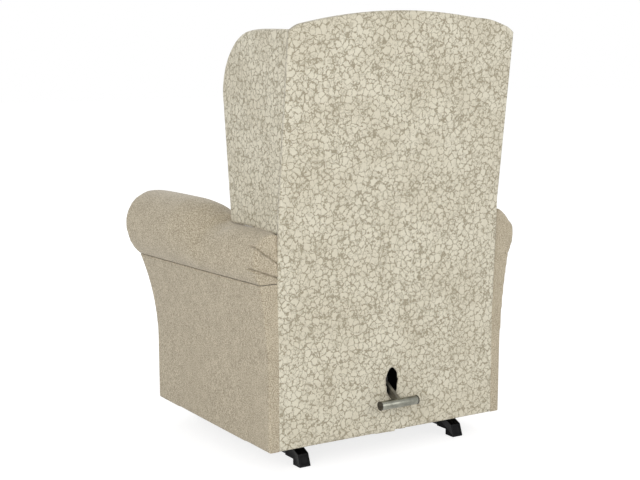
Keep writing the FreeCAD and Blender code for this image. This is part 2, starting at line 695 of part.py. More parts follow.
def back_cushion():
    low = BACK_CUSHION_BOTTOM
    top = BACK_HEIGHT - BACK_CUSHION_TOP_DROP
    narrow = ARM_INNER_X - BACK_CUSHION_SIDE_GAP
    wide = COVER_X - WING_THICKNESS - SOFT_GAP
    over_arm = ARM_HEIGHT - ROLL_SHOULDER_DROP
    edge = BACK_CUSHION_EDGE
    crown = BACK_CUSHION_CROWN
    post_top = BACK_HEIGHT - POST_TOP_DROP
    waist_z = (KNEE_Z + top) / 2
    neck = edge - BACK_CUSHION_NECK_DEPTH
    stations = [(low, narrow - BACK_CUSHION_FOOT_INSET, edge - BACK_CUSHION_FOOT_ROUND, crown / 2),
                (low + BACK_CUSHION_FOOT_ROUND, narrow, edge, crown),
                (over_arm, narrow, edge, crown),
                (over_arm + BACK_CUSHION_STEP, wide, edge, crown),
                (KNEE_Z, wide, edge, crown),
                (waist_z, wide - BACK_CUSHION_WAIST_INSET, edge - BACK_CUSHION_WAIST_DEPTH, crown),
                (post_top, wide, neck, crown),
                (post_top + BACK_CUSHION_LEDGE, wide, neck, crown),
                (top - BACK_CUSHION_SHOULDER, wide - BACK_CUSHION_SHOULDER_INSET,
                 edge - BACK_CUSHION_SHOULDER_DEPTH, crown),
                (top, wide - BACK_CUSHION_TOP_INSET, edge - BACK_CUSHION_TOP_DEPTH, crown / 2)]
    wires = [back_cushion_section(z, h, e, c) for z, h, e, c in stations]
    return Part.makeLoft(wires, True, True)


def wing_outline(x, inset):
    """Side outline of a wing, drawn in by inset along its front and top."""
    low = ARM_HEIGHT - ROLL_SHOULDER_DROP + WING_GAP
    rear_low = low - WING_FALL
    top = BACK_HEIGHT - WING_TOP_DROP - inset
    brow_y = WING_FRONT_Y - WING_LEAN + inset
    corner = (brow_y + WING_CORNER, top - WING_CORNER)
    brow = (brow_y, corner[1])
    crest = (corner[0], top)
    middle = arc_middle(corner, WING_CORNER, brow, crest)
    seat = COVER_THICKNESS
    steps = [(brow,), (middle, crest), ((cover_y(top) - seat, top),), ((cover_y(KNEE_Z) - seat, KNEE_Z),),
             ((cover_y(rear_low) - seat, rear_low),)]
    return outline(at_x(x), (WING_FRONT_Y + inset, low), steps)


def wing():
    inner = COVER_X - WING_THICKNESS
    stations = [(inner, WING_ROUND), (inner + WING_ROUND, 0.0), (COVER_X - WING_SIDE_INSET, 0.0),
                (COVER_X, WING_SIDE_INSET)]
    return Part.makeLoft([wing_outline(x, inset) for x, inset in stations], True, True)


# Footrest linkage

def foot_link_points():
    """Chair pivot, knee and board pivot of the folded linkage."""
    step_y = FOOT_LINK_LENGTH * math.cos(math.radians(FOOT_LINK_REST_DEG))
    step_z = FOOT_LINK_LENGTH * math.sin(math.radians(FOOT_LINK_REST_DEG))
    return ((FOOT_PIVOT_Y, FOOT_PIVOT_Z), (FOOT_PIVOT_Y - step_y, FOOT_PIVOT_Z - step_z),
            (FOOT_PIVOT_Y - 2 * step_y, FOOT_PIVOT_Z))


def drilled_bar(a, b, x0, x1):
    bar = bar_x(a, b, LINK_RADIUS, x0, x1)
    for y, z in (a, b):
        bar = bar.cut(rod_x(y, z, HOLE_RADIUS, x0, x1))
    return bar


def footrest_thigh():
    hip, knee, ankle = foot_link_points()
    return drilled_bar(hip, knee, THIGH_X, THIGH_OUTER_X)


def footrest_shin():
    hip, knee, ankle = foot_link_points()
    return drilled_bar(knee, ankle, SHIN_X, SHIN_OUTER_X)


def headed_pin(point, start_x, end_x):
    """A pin whose head is on its inner side."""
    y, z = point
    pin = rod_x(y, z, PIN_RADIUS, start_x, end_x)
    return pin.fuse(rod_x(y, z, PIN_HEAD_RADIUS, start_x - PIN_HEAD, start_x)).removeSplitter()


def hip_pin():
    return headed_pin(foot_link_points()[0], THIGH_X - FACE_CLEARANCE, MECH_OUTER_X)


def knee_pin():
    return headed_pin(foot_link_points()[1], SHIN_X, THIGH_OUTER_X)


def ankle_pin():
    return headed_pin(foot_link_points()[2], LUG_X, SHIN_OUTER_X)


def board_rear_y():
    return foot_link_points()[2][0] - FOOT_BOARD_GAP


def board_top_z():
    return FOOT_PIVOT_Z + FOOT_BOARD_RISE


def footrest_board():
    half = ARM_INNER_X - FOOT_BOARD_SIDE_GAP - FOOT_PAD_INSET
    top = board_top_z()
    return box(-half, half, board_rear_y() - FOOT_BOARD_THICKNESS, board_rear_y(),
               top - FOOT_BOARD_HEIGHT, top)


def footrest_lug():
    """Eye plate with a foot that is screwed to the back of the footrest board."""
    y, z = foot_link_points()[2]
    eye = bar_x((y, z), (board_rear_y() + LINK_RADIUS, z - FOOT_BRACKET_REACH / 2), LINK_RADIUS,
                LUG_X, LUG_OUTER_X)
    foot_plate = box(LUG_X - FOOT_BRACKET_REACH / 2, LUG_OUTER_X, board_rear_y(),
                     board_rear_y() + FOOT_LINK_THICKNESS, z - FOOT_BRACKET_REACH, z)
    lug = eye.fuse(foot_plate).removeSplitter()
    return lug.cut(rod_x(y, z, HOLE_RADIUS, LUG_X, LUG_OUTER_X))


def footrest_pad():
    rear = board_rear_y() - FOOT_BOARD_THICKNESS
    half = ARM_INNER_X - FOOT_BOARD_SIDE_GAP
    top = board_top_z()
    low = top - FOOT_BOARD_HEIGHT
    inset = FOOT_PAD_INSET
    edge = FOOT_PAD_EDGE
    crown = FOOT_PAD_CROWN
    stations = [(low, half - inset, edge / 3, crown / 2), (low + inset, half, edge, crown / 2),
                (low + 3 * inset, half - 2, edge, crown), (top - 3 * inset, half - 2, edge, crown),
                (top - inset, half, edge, crown / 2), (top, half - inset, edge / 3, crown / 2)]
    wires = []
    for z, h, e, c in stations:
        steps = [((h, rear),), ((h, rear - e),), ((0, rear - e - c), (-h, rear - e))]
        wires.append(outline(at_z(z), (-h, rear), steps))
    return Part.makeLoft(wires, True, True)


# Glide lock lever

def turned(point, degrees):
    """A (y, z) point turned about the lever's pivot."""
    y = point[0] - LEVER_PIVOT_Y
    z = point[1] - LEVER_PIVOT_Z
    a = math.radians(degrees)
    return (LEVER_PIVOT_Y + y * math.cos(a) - z * math.sin(a),
            LEVER_PIVOT_Z + y * math.sin(a) + z * math.cos(a))


def handle_point():
    return (LEVER_PIVOT_Y + HANDLE_OUT, LEVER_PIVOT_Z - HANDLE_DROP)


def brake_point():
    return (LEVER_PIVOT_Y - BRAKE_ARM_REACH, LEVER_PIVOT_Z + BRAKE_ARM_RISE)


def locked_shoe_bottom():
    return turned(brake_point(), LEVER_TRAVEL_DEG)[1] - LEVER_HALF_HEIGHT + SHOE_GRIP - SHOE_HEIGHT


def lever_blank():
    half = LEVER_THICKNESS / 2
    pivot = (LEVER_PIVOT_Y, LEVER_PIVOT_Z)
    rear = bar_x(pivot, handle_point(), LEVER_HALF_HEIGHT, -half, half)
    front = bar_x(brake_point(), pivot, LEVER_HALF_HEIGHT, -half, half)
    boss = rod_x(LEVER_PIVOT_Y, LEVER_PIVOT_Z, LEVER_BOSS_RADIUS, -half, half)
    return rear.multiFuse([front, boss]).removeSplitter()


def lever_arm():
    half = LEVER_THICKNESS / 2
    y, z = handle_point()
    arm = lever_blank().cut(rod_x(y, z, HANDLE_RADIUS, -half, half))
    return arm.cut(rod_x(LEVER_PIVOT_Y, LEVER_PIVOT_Z, LEVER_PIN_RADIUS + PIN_CLEARANCE, -half, half))


def lever_handle():
    y, z = handle_point()
    half = HANDLE_LENGTH / 2
    return rod_x(y, z, HANDLE_RADIUS, -half, half).cut(rod_x(y, z, HANDLE_RADIUS - HANDLE_WALL, -half, half))


def brake_shoe():
    """Rubber block, level when the lever is up; drawn there and turned back to rest."""
    y = turned(brake_point(), LEVER_TRAVEL_DEG)[0]
    low = locked_shoe_bottom()
    half = SHOE_WIDTH / 2
    block = box(-half, half, y - SHOE_LENGTH / 2, y + SHOE_LENGTH / 2, low, low + SHOE_HEIGHT)
    block.rotate(V(0, LEVER_PIVOT_Y, LEVER_PIVOT_Z), V(1, 0, 0), -LEVER_TRAVEL_DEG)
    return block.cut(lever_blank())


def lever_bracket():
    inner = LEVER_THICKNESS / 2 + LEVER_PLAY
    outer = inner + LEVER_BRACKET_THICKNESS
    top = REAR_RAIL_BOTTOM
    rail_rear = REAR_RAIL_FRONT_Y + REAR_RAIL_DEPTH
    margin = LEVER_BRACKET_MARGIN
    points = [(REAR_RAIL_FRONT_Y, top), (LEVER_PIVOT_Y - margin, LEVER_PIVOT_Z),
              (LEVER_PIVOT_Y - margin / 2, LEVER_PIVOT_Z - margin),
              (LEVER_PIVOT_Y + margin / 2, LEVER_PIVOT_Z - margin),
              (LEVER_PIVOT_Y + margin, LEVER_PIVOT_Z), (rail_rear, top)]
    cheek = extrude(polygon(at_x(inner), points), V(LEVER_BRACKET_THICKNESS, 0, 0))
    cheek = cheek.cut(rod_x(LEVER_PIVOT_Y, LEVER_PIVOT_Z, LEVER_PIN_RADIUS + PIN_CLEARANCE, inner, outer))
    bridge = box(-outer, outer, REAR_RAIL_FRONT_Y, rail_rear, top - LEVER_BRACKET_THICKNESS, top)
    return bridge.multiFuse([cheek, mirrored(cheek)]).removeSplitter()


def lever_pin():
    end = LEVER_THICKNESS / 2 + LEVER_PLAY + LEVER_BRACKET_THICKNESS
    pin = rod_x(LEVER_PIVOT_Y, LEVER_PIVOT_Z, LEVER_PIN_RADIUS, -end, end)
    heads = [rod_x(LEVER_PIVOT_Y, LEVER_PIVOT_Z, LEVER_PIN_HEAD_RADIUS, end, end + PIN_HEAD)]
    heads.append(mirrored(heads[0]))
    return pin.multiFuse(heads).removeSplitter()


def brake_plate():
    """Wear plate on a pedestal that stands on the rear cross tube."""
    top = locked_shoe_bottom() - BRAKE_GAP
    middle = CROSS_TUBE_Y
    glide_travel = LINK_LENGTH * math.sin(math.radians(GLIDE_DEG))
    rear = COVER_INNER_Y - glide_travel - BRAKE_PLATE_CLEARANCE
    plate = box(-BRAKE_PLATE_WIDTH / 2, BRAKE_PLATE_WIDTH / 2, rear - BRAKE_PLATE_LENGTH, rear,
                top - BRAKE_PLATE_THICKNESS, top)
    post_half = BRAKE_POST_WIDTH / 2
    tube_half = CROSS_TUBE / 2
    post = box(-post_half, post_half, middle - tube_half, middle + tube_half, RAIL_MID_Z + tube_half,
               top - BRAKE_PLATE_THICKNESS)
    return plate.fuse(post).removeSplitter()


# Write one file for each piece

def main():
    os.makedirs("parts", exist_ok=True)
    save_sides("base_rail", base_rail())
    save_sides("rear_foot", foot(RAIL_REAR_Y, 1))
    save_sides("front_foot", foot(RAIL_FRONT_Y, -1))
    save("rear_cross_tube", cross_tube(CROSS_TUBE_Y))
    save("front_cross_tube", cross_tube(-CROSS_TUBE_Y))
    save_sides("glide_hangers", hangers())
    save("hanger_bolts", hanger_bolts())
    save("upper_glide_pins", pair(Part.makeCompound([upper_pin(y) for y in LINK_YS])))
    save("brake_plate", brake_plate())
    save_sides("front_glide_link", glide_link(LINK_YS[0]))
    save_sides("rear_glide_link", glide_link(LINK_YS[1]))
    save("lower_glide_pins", pair(Part.makeCompound([lower_pin(y) for y in LINK_YS])))
    save_sides("seat_side_plate", mech_plate())
    save_sides("seat_rail", seat_rail())
    save("seat_front_rail", seat_front_rail())
    save("seat_rear_rail", seat_rear_rail())
    save("seat_webbing", seat_webbing())
    save("seat_cushion", seat_cushion())
    save_sides("arm_core", arm_core())
    save_sides("arm_side", arm_side())
    save_sides("arm_roll", arm_roll())
    save_sides("arm_facing", arm_facing())
    save("rear_flap", rear_flap())
    save("rear_bottom_rail", bottom_rail())
    save("recline_pins", pair(recline_pin()))
    save_sides("back_post", back_post())
    save("back_rails", back_rails())
    save("back_brackets", pair(back_bracket()))
    save("outside_back", outside_back())
    save("back_cushion", back_cushion())
    save_sides("wing", wing())
    save("footrest_hip_pins", pair(hip_pin()))
    save("footrest_thigh_links", pair(footrest_thigh()))
    save("footrest_shin_links", pair(footrest_shin()))
    save("footrest_knee_pins", pair(knee_pin()))
    save("footrest_ankle_pins", pair(ankle_pin()))
    save("footrest_lugs", pair(footrest_lug()))
    save("footrest_board", footrest_board())
    save("footrest_pad", footrest_pad())
    save("lever_bracket", lever_bracket())
    save("lever_pin", lever_pin())
    save("lever_arm", lever_arm())
    save("lever_handle", lever_handle())
    save("brake_shoe", brake_shoe())


main()
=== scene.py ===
import json
import math

import bmesh
import bpy
from mathutils import Matrix, Vector, noise


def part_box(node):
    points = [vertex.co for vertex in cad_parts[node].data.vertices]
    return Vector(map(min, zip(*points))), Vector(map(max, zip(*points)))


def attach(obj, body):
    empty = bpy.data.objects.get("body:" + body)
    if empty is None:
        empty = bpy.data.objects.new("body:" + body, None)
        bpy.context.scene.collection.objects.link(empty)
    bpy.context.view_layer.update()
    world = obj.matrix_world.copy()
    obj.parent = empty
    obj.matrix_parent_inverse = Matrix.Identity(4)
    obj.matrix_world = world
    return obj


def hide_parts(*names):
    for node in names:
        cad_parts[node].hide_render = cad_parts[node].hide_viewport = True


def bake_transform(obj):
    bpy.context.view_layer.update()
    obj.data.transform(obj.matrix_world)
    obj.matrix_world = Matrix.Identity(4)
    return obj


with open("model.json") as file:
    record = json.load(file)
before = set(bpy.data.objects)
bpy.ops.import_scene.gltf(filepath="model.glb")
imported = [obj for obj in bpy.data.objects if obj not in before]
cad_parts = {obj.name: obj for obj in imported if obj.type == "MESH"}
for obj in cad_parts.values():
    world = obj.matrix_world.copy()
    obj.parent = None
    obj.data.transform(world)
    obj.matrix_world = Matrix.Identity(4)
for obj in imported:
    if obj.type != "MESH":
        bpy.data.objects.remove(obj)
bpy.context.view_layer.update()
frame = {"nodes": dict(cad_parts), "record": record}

# Wing-back glider recliner, in metres. The sitter faces -Y, and the photograph looks at the outside back.

NODES = frame["nodes"]
BODY_OF = {node: body for body, nodes in frame["record"]["behaviour"]["bodies"].items() for node in nodes}
MERGE = 1e-5


# Small helpers

def linear(rgb):
    """A colour in sRGB bytes as the linear RGBA that a socket takes."""
    values = [c / 255 for c in rgb]
    return tuple(v / 12.92 if v <= 0.04045 else ((v + 0.055) / 1.055) ** 2.4 for v in values) + (1.0,)


def link(obj):
    bpy.context.scene.collection.objects.link(obj)
    return obj


def piece_from(bm, name):
    """A smooth-shaded object at the origin with this bmesh as its mesh."""
    mesh = bpy.data.meshes.new(name)
    bm.to_mesh(mesh)
    bm.free()
    mesh.shade_smooth()
    return link(bpy.data.objects.new(name, mesh))


def solid_of(node):
    """A bmesh of a node's solid, with the triangles' corners merged."""
    bm = bmesh.new()
    bm.from_mesh(NODES[node].data)
    bmesh.ops.remove_doubles(bm, verts=bm.verts, dist=MERGE)
    return bm


def settle(obj):
    """Apply every modifier, so that the mesh holds the finished shape."""
    depsgraph = bpy.context.evaluated_depsgraph_get()
    finished = bpy.data.meshes.new_from_object(obj.evaluated_get(depsgraph))
    obj.modifiers.clear()
    obj.data = finished
    return obj


def round_corners(bm, sharpest, offset):
    """Round each edge of a bmesh whose faces turn by more than an angle in radians."""
    corners = [edge for edge in bm.edges if edge.calc_face_angle(0.0) > sharpest]
    bmesh.ops.bevel(bm, geom=corners, offset=offset, affect="EDGES", segments=2, profile=0.5, material=-1)


def near_end(value, end, depth):
    """1 at or past an end, falling to 0 a depth short of it."""
    return min(max(1 - (end - value) / depth, 0.0), 1.0)


def hill(value, middle, spread):
    """1 at the middle, falling off to both sides as a bell does."""
    return math.exp(-((value - middle) / spread) ** 2)


def distance_to_path(point, path):
    """Shortest distance from a point to a run of straight stretches."""
    nearest = math.inf
    for a, b in zip(path, path[1:]):
        along = b - a
        t = min(max((point - a).dot(along) / along.length_squared, 0.0), 1.0)
        nearest = min(nearest, (point - a - along * t).length)
    return nearest


# Materials: colours as sRGB bytes, noise scales per metre

PEBBLE_LIGHT = (217, 211, 192)
PEBBLE_WARM = (210, 203, 183)
PEBBLE_LINE = (154, 145, 123)
PLAIN_LIGHT = (200, 189, 166)
PLAIN_DARK = (143, 131, 110)
WOOD_LIGHT = (203, 170, 122)
WOOD_DARK = (167, 128, 82)
JUTE_LIGHT = (168, 147, 112)
JUTE_DARK = (92, 78, 60)

# The pebble net has large cells, and small ones that fade where the cloth is spare
PEBBLE_SCALE = 62.0
PEBBLE_SMALL_SCALE = 118.0
PEBBLE_SMALL_LEAST = 0.45
PEBBLE_BEND = 0.016
PEBBLE_BEND_SCALE = 110.0
LINE_WIDTHS = (0.075, 0.145)
LINE_WIDTH_SCALE = 60.0
LINE_BREAK = (0.54, 0.68)
LINE_BREAK_SCALE = 1.7
WEDGE = (0.70, 0.90)
WEDGE_SHADE = 0.68
SPARE = (0.44, 0.62)
SPARE_SCALE = 42.0
WARM_SCALE = 9.0
YARN = (900.0, 900.0, 420.0)

# The plain cloth's tweed
TWEED_SCALE = 360.0
TWEED_STREAK = (310.0, 310.0, 60.0)
TWEED_MOTTLE_SCALE = 26.0


class Finish:
    """A material under one Principled shader, wired up by short calls."""

    def __init__(self, name, **sockets):
        self.material = bpy.data.materials.new(name)
        self.material.use_nodes = True
        self.tree = self.material.node_tree
        self.shader = self.tree.nodes["Principled BSDF"]
        for socket, value in sockets.items():
            self.shader.inputs[socket.replace("_", " ")].default_value = value
        self.place = self.node("ShaderNodeTexCoord").outputs["Object"]

    def node(self, kind, inputs=None, **settings):
        """A new node; an input's value is another node's output, or a constant."""
        made = self.tree.nodes.new(kind)
        for name, value in settings.items():
            setattr(made, name, value)
        for socket, value in (inputs or {}).items():
            if isinstance(value, bpy.types.NodeSocket):
                self.tree.links.new(value, made.inputs[socket])
            else:
                made.inputs[socket].default_value = value
        return made

    def noise(self, scale, detail=2.0, place=None, output="Fac"):
        inputs = {"Vector": place or self.place, "Scale": scale, "Detail": detail}
        return self.node("ShaderNodeTexNoise", inputs).outputs[output]

    def stretched(self, scale):
        """Object coordinates scaled by a different amount along each axis."""
        return self.node("ShaderNodeMapping", {"Vector": self.place, "Scale": scale}).outputs["Vector"]

    def spread(self, value, low, high, to_low=0.0, to_high=1.0):
        inputs = {"Value": value, "From Min": low, "From Max": high, "To Min": to_low, "To Max": to_high}
        made = self.node("ShaderNodeMapRange", inputs, interpolation_type="SMOOTHSTEP")
        return made.outputs["Result"]

    def sum(self, operation, a, b):
        return self.node("ShaderNodeMath", {0: a, 1: b}, operation=operation).outputs["Value"]

    def blend(self, *parts):
        """The sum of (value, weight) pairs."""
        total = None
        for value, weight in parts:
            weighed = self.sum("MULTIPLY", value, weight)
            total = self.sum("ADD", total, weighed) if total else weighed
        return total

    def mix(self, factor, a, b):
        return self.node("ShaderNodeMix", {0: factor, 6: a, 7: b}, data_type="RGBA").outputs[2]

    def shade(self, factor, colour, amount):
        """Darken a colour by a factor from 0 to 1, times an amount."""
        inputs = {0: amount, 6: colour, 7: factor}
        return self.node("ShaderNodeMix", inputs, data_type="RGBA", blend_type="MULTIPLY").outputs[2]

    def bump(self, height, distance, strength=1.0):
        inputs = {"Height": height, "Distance": distance, "Strength": strength}
        return self.node("ShaderNodeBump", inputs).outputs["Normal"]

    def wire(self, socket, value):
        self.tree.links.new(value, self.shader.inputs[socket])


def pebble_fabric():
    """Cream upholstery cloth woven with a net of taupe lines round uneven pebbles."""
    f = Finish("pebble_fabric", Roughness=0.88, Sheen_Weight=0.12, Sheen_Roughness=0.5)
    bend = f.noise(PEBBLE_BEND_SCALE, 3.0, output="Color")
    centred = f.node("ShaderNodeVectorMath", {0: bend, 1: (0.5, 0.5, 0.5)}, operation="SUBTRACT")
    moved = f.node("ShaderNodeVectorMath", {0: centred.outputs[0], 1: (PEBBLE_BEND,) * 3, 2: f.place},
                   operation="MULTIPLY_ADD").outputs[0]
    width = f.spread(f.noise(LINE_WIDTH_SCALE, 3.0), 0.34, 0.66, *LINE_WIDTHS)
    fill = None
    for scale, least in ((PEBBLE_SCALE, 0.0), (PEBBLE_SMALL_SCALE, PEBBLE_SMALL_LEAST)):
        cell = f.node("ShaderNodeTexVoronoi", {"Vector": moved, "Scale": scale}, feature="DISTANCE_TO_EDGE")
        centre = f.node("ShaderNodeTexVoronoi", {"Vector": moved, "Scale": scale}, feature="F1")
        line = f.spread(f.sum("DIVIDE", cell.outputs["Distance"], width), 0.1, 1.0)
        wedge = f.spread(centre.outputs["Distance"], *WEDGE, 1.0, WEDGE_SHADE)
        broken = f.spread(f.noise(scale * LINE_BREAK_SCALE, 2.0), *LINE_BREAK, least, 1.0)
        cells = f.sum("MULTIPLY", f.sum("MAXIMUM", line, broken), wedge)
        if fill:
            spare = f.spread(f.noise(SPARE_SCALE, 2.0), *SPARE, 1.0, 0.0)
            cells = f.sum("MULTIPLY", fill, f.sum("MAXIMUM", cells, spare))
        fill = cells
    warmth = f.spread(f.noise(WARM_SCALE, 2.0), 0.35, 0.65)
    cream = f.mix(warmth, linear(PEBBLE_LIGHT), linear(PEBBLE_WARM))
    cloth = f.mix(fill, linear(PEBBLE_LINE), cream)
    yarn = f.noise(1.0, 2.0, f.stretched(YARN))
    f.wire("Base Color", f.shade(f.spread(yarn, 0.3, 0.7, 0.72, 1.0), cloth, 0.3))
    f.wire("Normal", f.bump(f.blend((fill, 0.8), (yarn, 0.5)), 0.0006, 0.6))
    return f.material


def plain_fabric():
    """Taupe flat-weave upholstery cloth with a tweed grain and faint upright streaks."""
    f = Finish("plain_fabric", Roughness=0.92, Sheen_Weight=0.18, Sheen_Roughness=0.5)
    grain = f.noise(TWEED_SCALE, 2.0)
    streak = f.noise(1.0, 3.0, f.stretched(TWEED_STREAK))
    mottle = f.noise(TWEED_MOTTLE_SCALE, 3.0)
    tone = f.blend((grain, 0.7), (streak, 0.2), (mottle, 0.1))
    f.wire("Base Color", f.mix(f.spread(tone, 0.36, 0.64), linear(PLAIN_DARK), linear(PLAIN_LIGHT)))
    f.wire("Normal", f.bump(f.sum("ADD", grain, streak), 0.0006, 0.6))
    return f.material


def steel(name, light, dark, metallic, roughness, grain):
    """Metal or its paint, with a fine grain along X and patchy gloss."""
    f = Finish(name, Metallic=metallic)
    brushed = f.noise(1.0, 3.0, f.stretched((grain * 0.06, grain, grain)))
    patch = f.noise(28.0, 4.0)
    gloss = f.blend((brushed, 0.5), (patch, 0.5))
    f.wire("Base Color", f.mix(f.spread(patch, 0.35, 0.65), linear(light), linear(dark)))
    f.wire("Roughness", f.spread(gloss, 0.3, 0.7, roughness - 0.07, roughness + 0.09))
    f.wire("Normal", f.bump(brushed, 0.0002, 0.35))
    return f.material


def moulded(name, light, dark, roughness, gloss):
    """Moulded plastic or rubber with a fine spark-eroded texture."""
    f = Finish(name, Specular_IOR_Level=gloss)
    texture = f.noise(850.0, 3.0)
    wear = f.noise(35.0, 4.0)
    f.wire("Base Color", f.mix(f.spread(wear, 0.4, 0.7), linear(dark), linear(light)))
    f.wire("Roughness", f.spread(wear, 0.3, 0.7, roughness - 0.06, roughness + 0.08))
    f.wire("Normal", f.bump(texture, 0.0003, 0.5))
    return f.material


def frame_wood():
    """Pale sawn hardwood with grain along X."""
    f = Finish("frame_wood", Roughness=0.65)
    grain = f.noise(1.0, 5.0, f.stretched((9.0, 130.0, 130.0)))
    pores = f.noise(1.0, 3.0, f.stretched((40.0, 700.0, 700.0)))
    tone = f.mix(f.spread(grain, 0.3, 0.7), linear(WOOD_LIGHT), linear(WOOD_DARK))
    f.wire("Base Color", f.shade(f.spread(pores, 0.3, 0.6, 0.7, 1.0), tone, 0.5))
    f.wire("Normal", f.bump(grain, 0.0005, 0.4))
    return f.material


def webbing():
    """Woven jute strap, warp and weft crossing."""
    f = Finish("webbing", Roughness=0.9)
    warp = f.noise(1.0, 2.0, f.stretched((900.0, 90.0, 900.0)))
    weft = f.noise(1.0, 2.0, f.stretched((90.0, 900.0, 900.0)))
    weave = f.sum("MAXIMUM", warp, weft)
    f.wire("Base Color", f.mix(f.spread(weave, 0.4, 0.75), linear(JUTE_DARK), linear(JUTE_LIGHT)))
    f.wire("Normal", f.bump(weave, 0.0006, 0.7))
    return f.material


MATERIALS = {
    "pebble_fabric": pebble_fabric(),
    "plain_fabric": plain_fabric(),
    "black_steel": steel("black_steel", (34, 34, 36), (23, 23, 24), 0.2, 0.45, 400.0),
    "zinc_steel": steel("zinc_steel", (178, 178, 172), (150, 150, 146), 1.0, 0.38, 900.0),
    # The handle's satin steel is partly its own colour and partly painted shade: the darker base stands in
    # for dark surroundings reflected in the tube
    "satin_steel": steel("satin_steel", (150, 150, 139), (112, 112, 103), 1.0, 0.3, 700.0),
    # Steel for the lever arm and its pin, darkened as painted shade: its colour stands in for the dark
    # inside of the chair reflected in it
    "shaded_steel": steel("shaded_steel", (146, 143, 131), (104, 101, 93), 0.9, 0.36, 700.0),
    "black_plastic": moulded("black_plastic", (13, 13, 14), (8, 8, 9), 0.42, 0.10),
    "cap_plastic": moulded("cap_plastic", (64, 58, 48), (46, 42, 35), 0.45, 0.35),
    # A near-black cloth of painted shade, standing in for the shade inside the chair that shows through the
    # lever slot
    "shade_cloth": moulded("shade_cloth", (15, 15, 16), (8, 8, 9), 0.9, 0.08),
    "shoe_rubber": moulded("shoe_rubber", (46, 44, 42), (30, 29, 28), 0.8, 0.3),
    "frame_wood": frame_wood(),
    "webbing": webbing(),
}


# Soft pieces: each starts from its solid and swells into cloth over foam

FINE_VOXEL = 0.005
WIDE_VOXEL = 0.007
BOARD_VOXEL = 0.004
PANEL_VOXEL = 0.003
SWELL_FRAMES = 20
SWELL_PRESSURE = 4.0

# A fold, in widths of its groove: how far it reaches, is refined, and raises the cloth beside it
FOLD_REACH = 8
FOLD_REFINED = 4
FOLD_RISE = 0.45
FOLD_RISE_AT = 3
FOLD_RISE_SPREAD = 2


def ease_modifier(obj, rounds):
    ease = obj.modifiers.new("ease", "SMOOTH")
    ease.factor = 0.5
    ease.iterations = rounds
    return ease


def even_skin(node, name, voxel, tuck, rounds):
    """A copy of a node's solid as one even quad skin, drawn in a little and with its edges eased."""
    obj = piece_from(solid_of(node), name)
    remesh = obj.modifiers.new("even", "REMESH")
    remesh.mode = "VOXEL"
    remesh.voxel_size = voxel
    ease_modifier(obj, rounds)
    settle(obj)
    for vertex, normal in zip(obj.data.vertices, [v.normal.copy() for v in obj.data.vertices]):
        vertex.co -= normal * tuck
    return obj


def swell(obj, cap, held):
    """Inflate a skin as cloth over foam; held(point) marks what is fixed, and no point moves past cap."""
    rest = [v.co.copy() for v in obj.data.vertices]
    pinned = obj.vertex_groups.new(name="held")
    pinned.add([i for i, co in enumerate(rest) if held(co)], 1.0, "REPLACE")
    cloth = obj.modifiers.new("swell", "CLOTH")
    cloth.settings.quality = 5
    cloth.settings.mass = 0.3
    cloth.settings.tension_stiffness = 12.0
    cloth.settings.compression_stiffness = 12.0
    cloth.settings.shear_stiffness = 6.0
    cloth.settings.bending_stiffness = 0.6
    cloth.settings.use_pressure = True
    cloth.settings.uniform_pressure_force = SWELL_PRESSURE
    cloth.settings.effector_weights.gravity = 0.0
    cloth.settings.vertex_group_mass = "held"
    cloth.point_cache.frame_start = 1
    cloth.point_cache.frame_end = SWELL_FRAMES
    for step in range(1, SWELL_FRAMES + 1):
        bpy.context.scene.frame_set(step)
    settle(obj)
    obj.vertex_groups.clear()
    bpy.context.scene.frame_set(1)
    for vertex, start in zip(obj.data.vertices, rest):
        moved = vertex.co - start
        if moved.length > cap:
            vertex.co = start + moved * (cap / moved.length)
    return obj


def ease_near(obj, chosen, rounds):
    """Round a piece further where chosen(point) holds."""
    near = obj.vertex_groups.new(name="near")
    near.add([v.index for v in obj.data.vertices if chosen(v.co)], 1.0, "REPLACE")
    ease_modifier(obj, rounds).vertex_group = "near"
    settle(obj)
    obj.vertex_groups.clear()
    return obj


def shift(obj, move):
    """Move each point of a piece by move(point)."""
    for vertex in obj.data.vertices:
        vertex.co += Vector(move(vertex.co))
    return obj


def finer(obj):
    """One level of subdivision, applied."""
    divide = obj.modifiers.new("finer", "SUBSURF")
    divide.levels = 1
    divide.render_levels = 1
    return settle(obj)


def refine_near(obj, chosen):
    """Divide a piece's faces in three each way where chosen(point) holds."""
    bm = bmesh.new()
    bm.from_mesh(obj.data)
    near = {vertex for vertex in bm.verts if chosen(vertex.co)}
    edges = [edge for edge in bm.edges if all(vertex in near for vertex in edge.verts)]
    bmesh.ops.subdivide_edges(bm, edges=edges, cuts=2, use_grid_fill=True)
    bm.to_mesh(obj.data)
    bm.free()


def press_fold(obj, path, width, depth, chosen):
    """Press a fold into a piece along (x, z) points, and raise the cloth on both sides of it."""
    points = [Vector((x, 0.0, z)) for x, z in path]

    def from_fold(p):
        return distance_to_path(Vector((p.x, 0.0, p.z)), points)

    refine_near(obj, lambda p: chosen(p) and from_fold(p) < FOLD_REFINED * width)
    moves = []
    for vertex in obj.data.vertices:
        if not chosen(vertex.co):
            continue
        away = from_fold(vertex.co)
        if away < FOLD_REACH * width:
            groove = depth * hill(away, 0.0, width)
            rise = FOLD_RISE * depth * hill(away, FOLD_RISE_AT * width, FOLD_RISE_SPREAD * width)
            moves.append((vertex, vertex.normal * (rise - groove)))
    for vertex, move in moves:
        vertex.co += move


def dress(obj, node, slot):
    """Show a soft piece in place of its solid, on the solid's body and in its cloth."""
    obj.data.materials.clear()
    obj.data.materials.append(MATERIALS[slot])
    obj.data.shade_smooth()
    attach(obj, BODY_OF[node])
    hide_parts(node)
    return obj


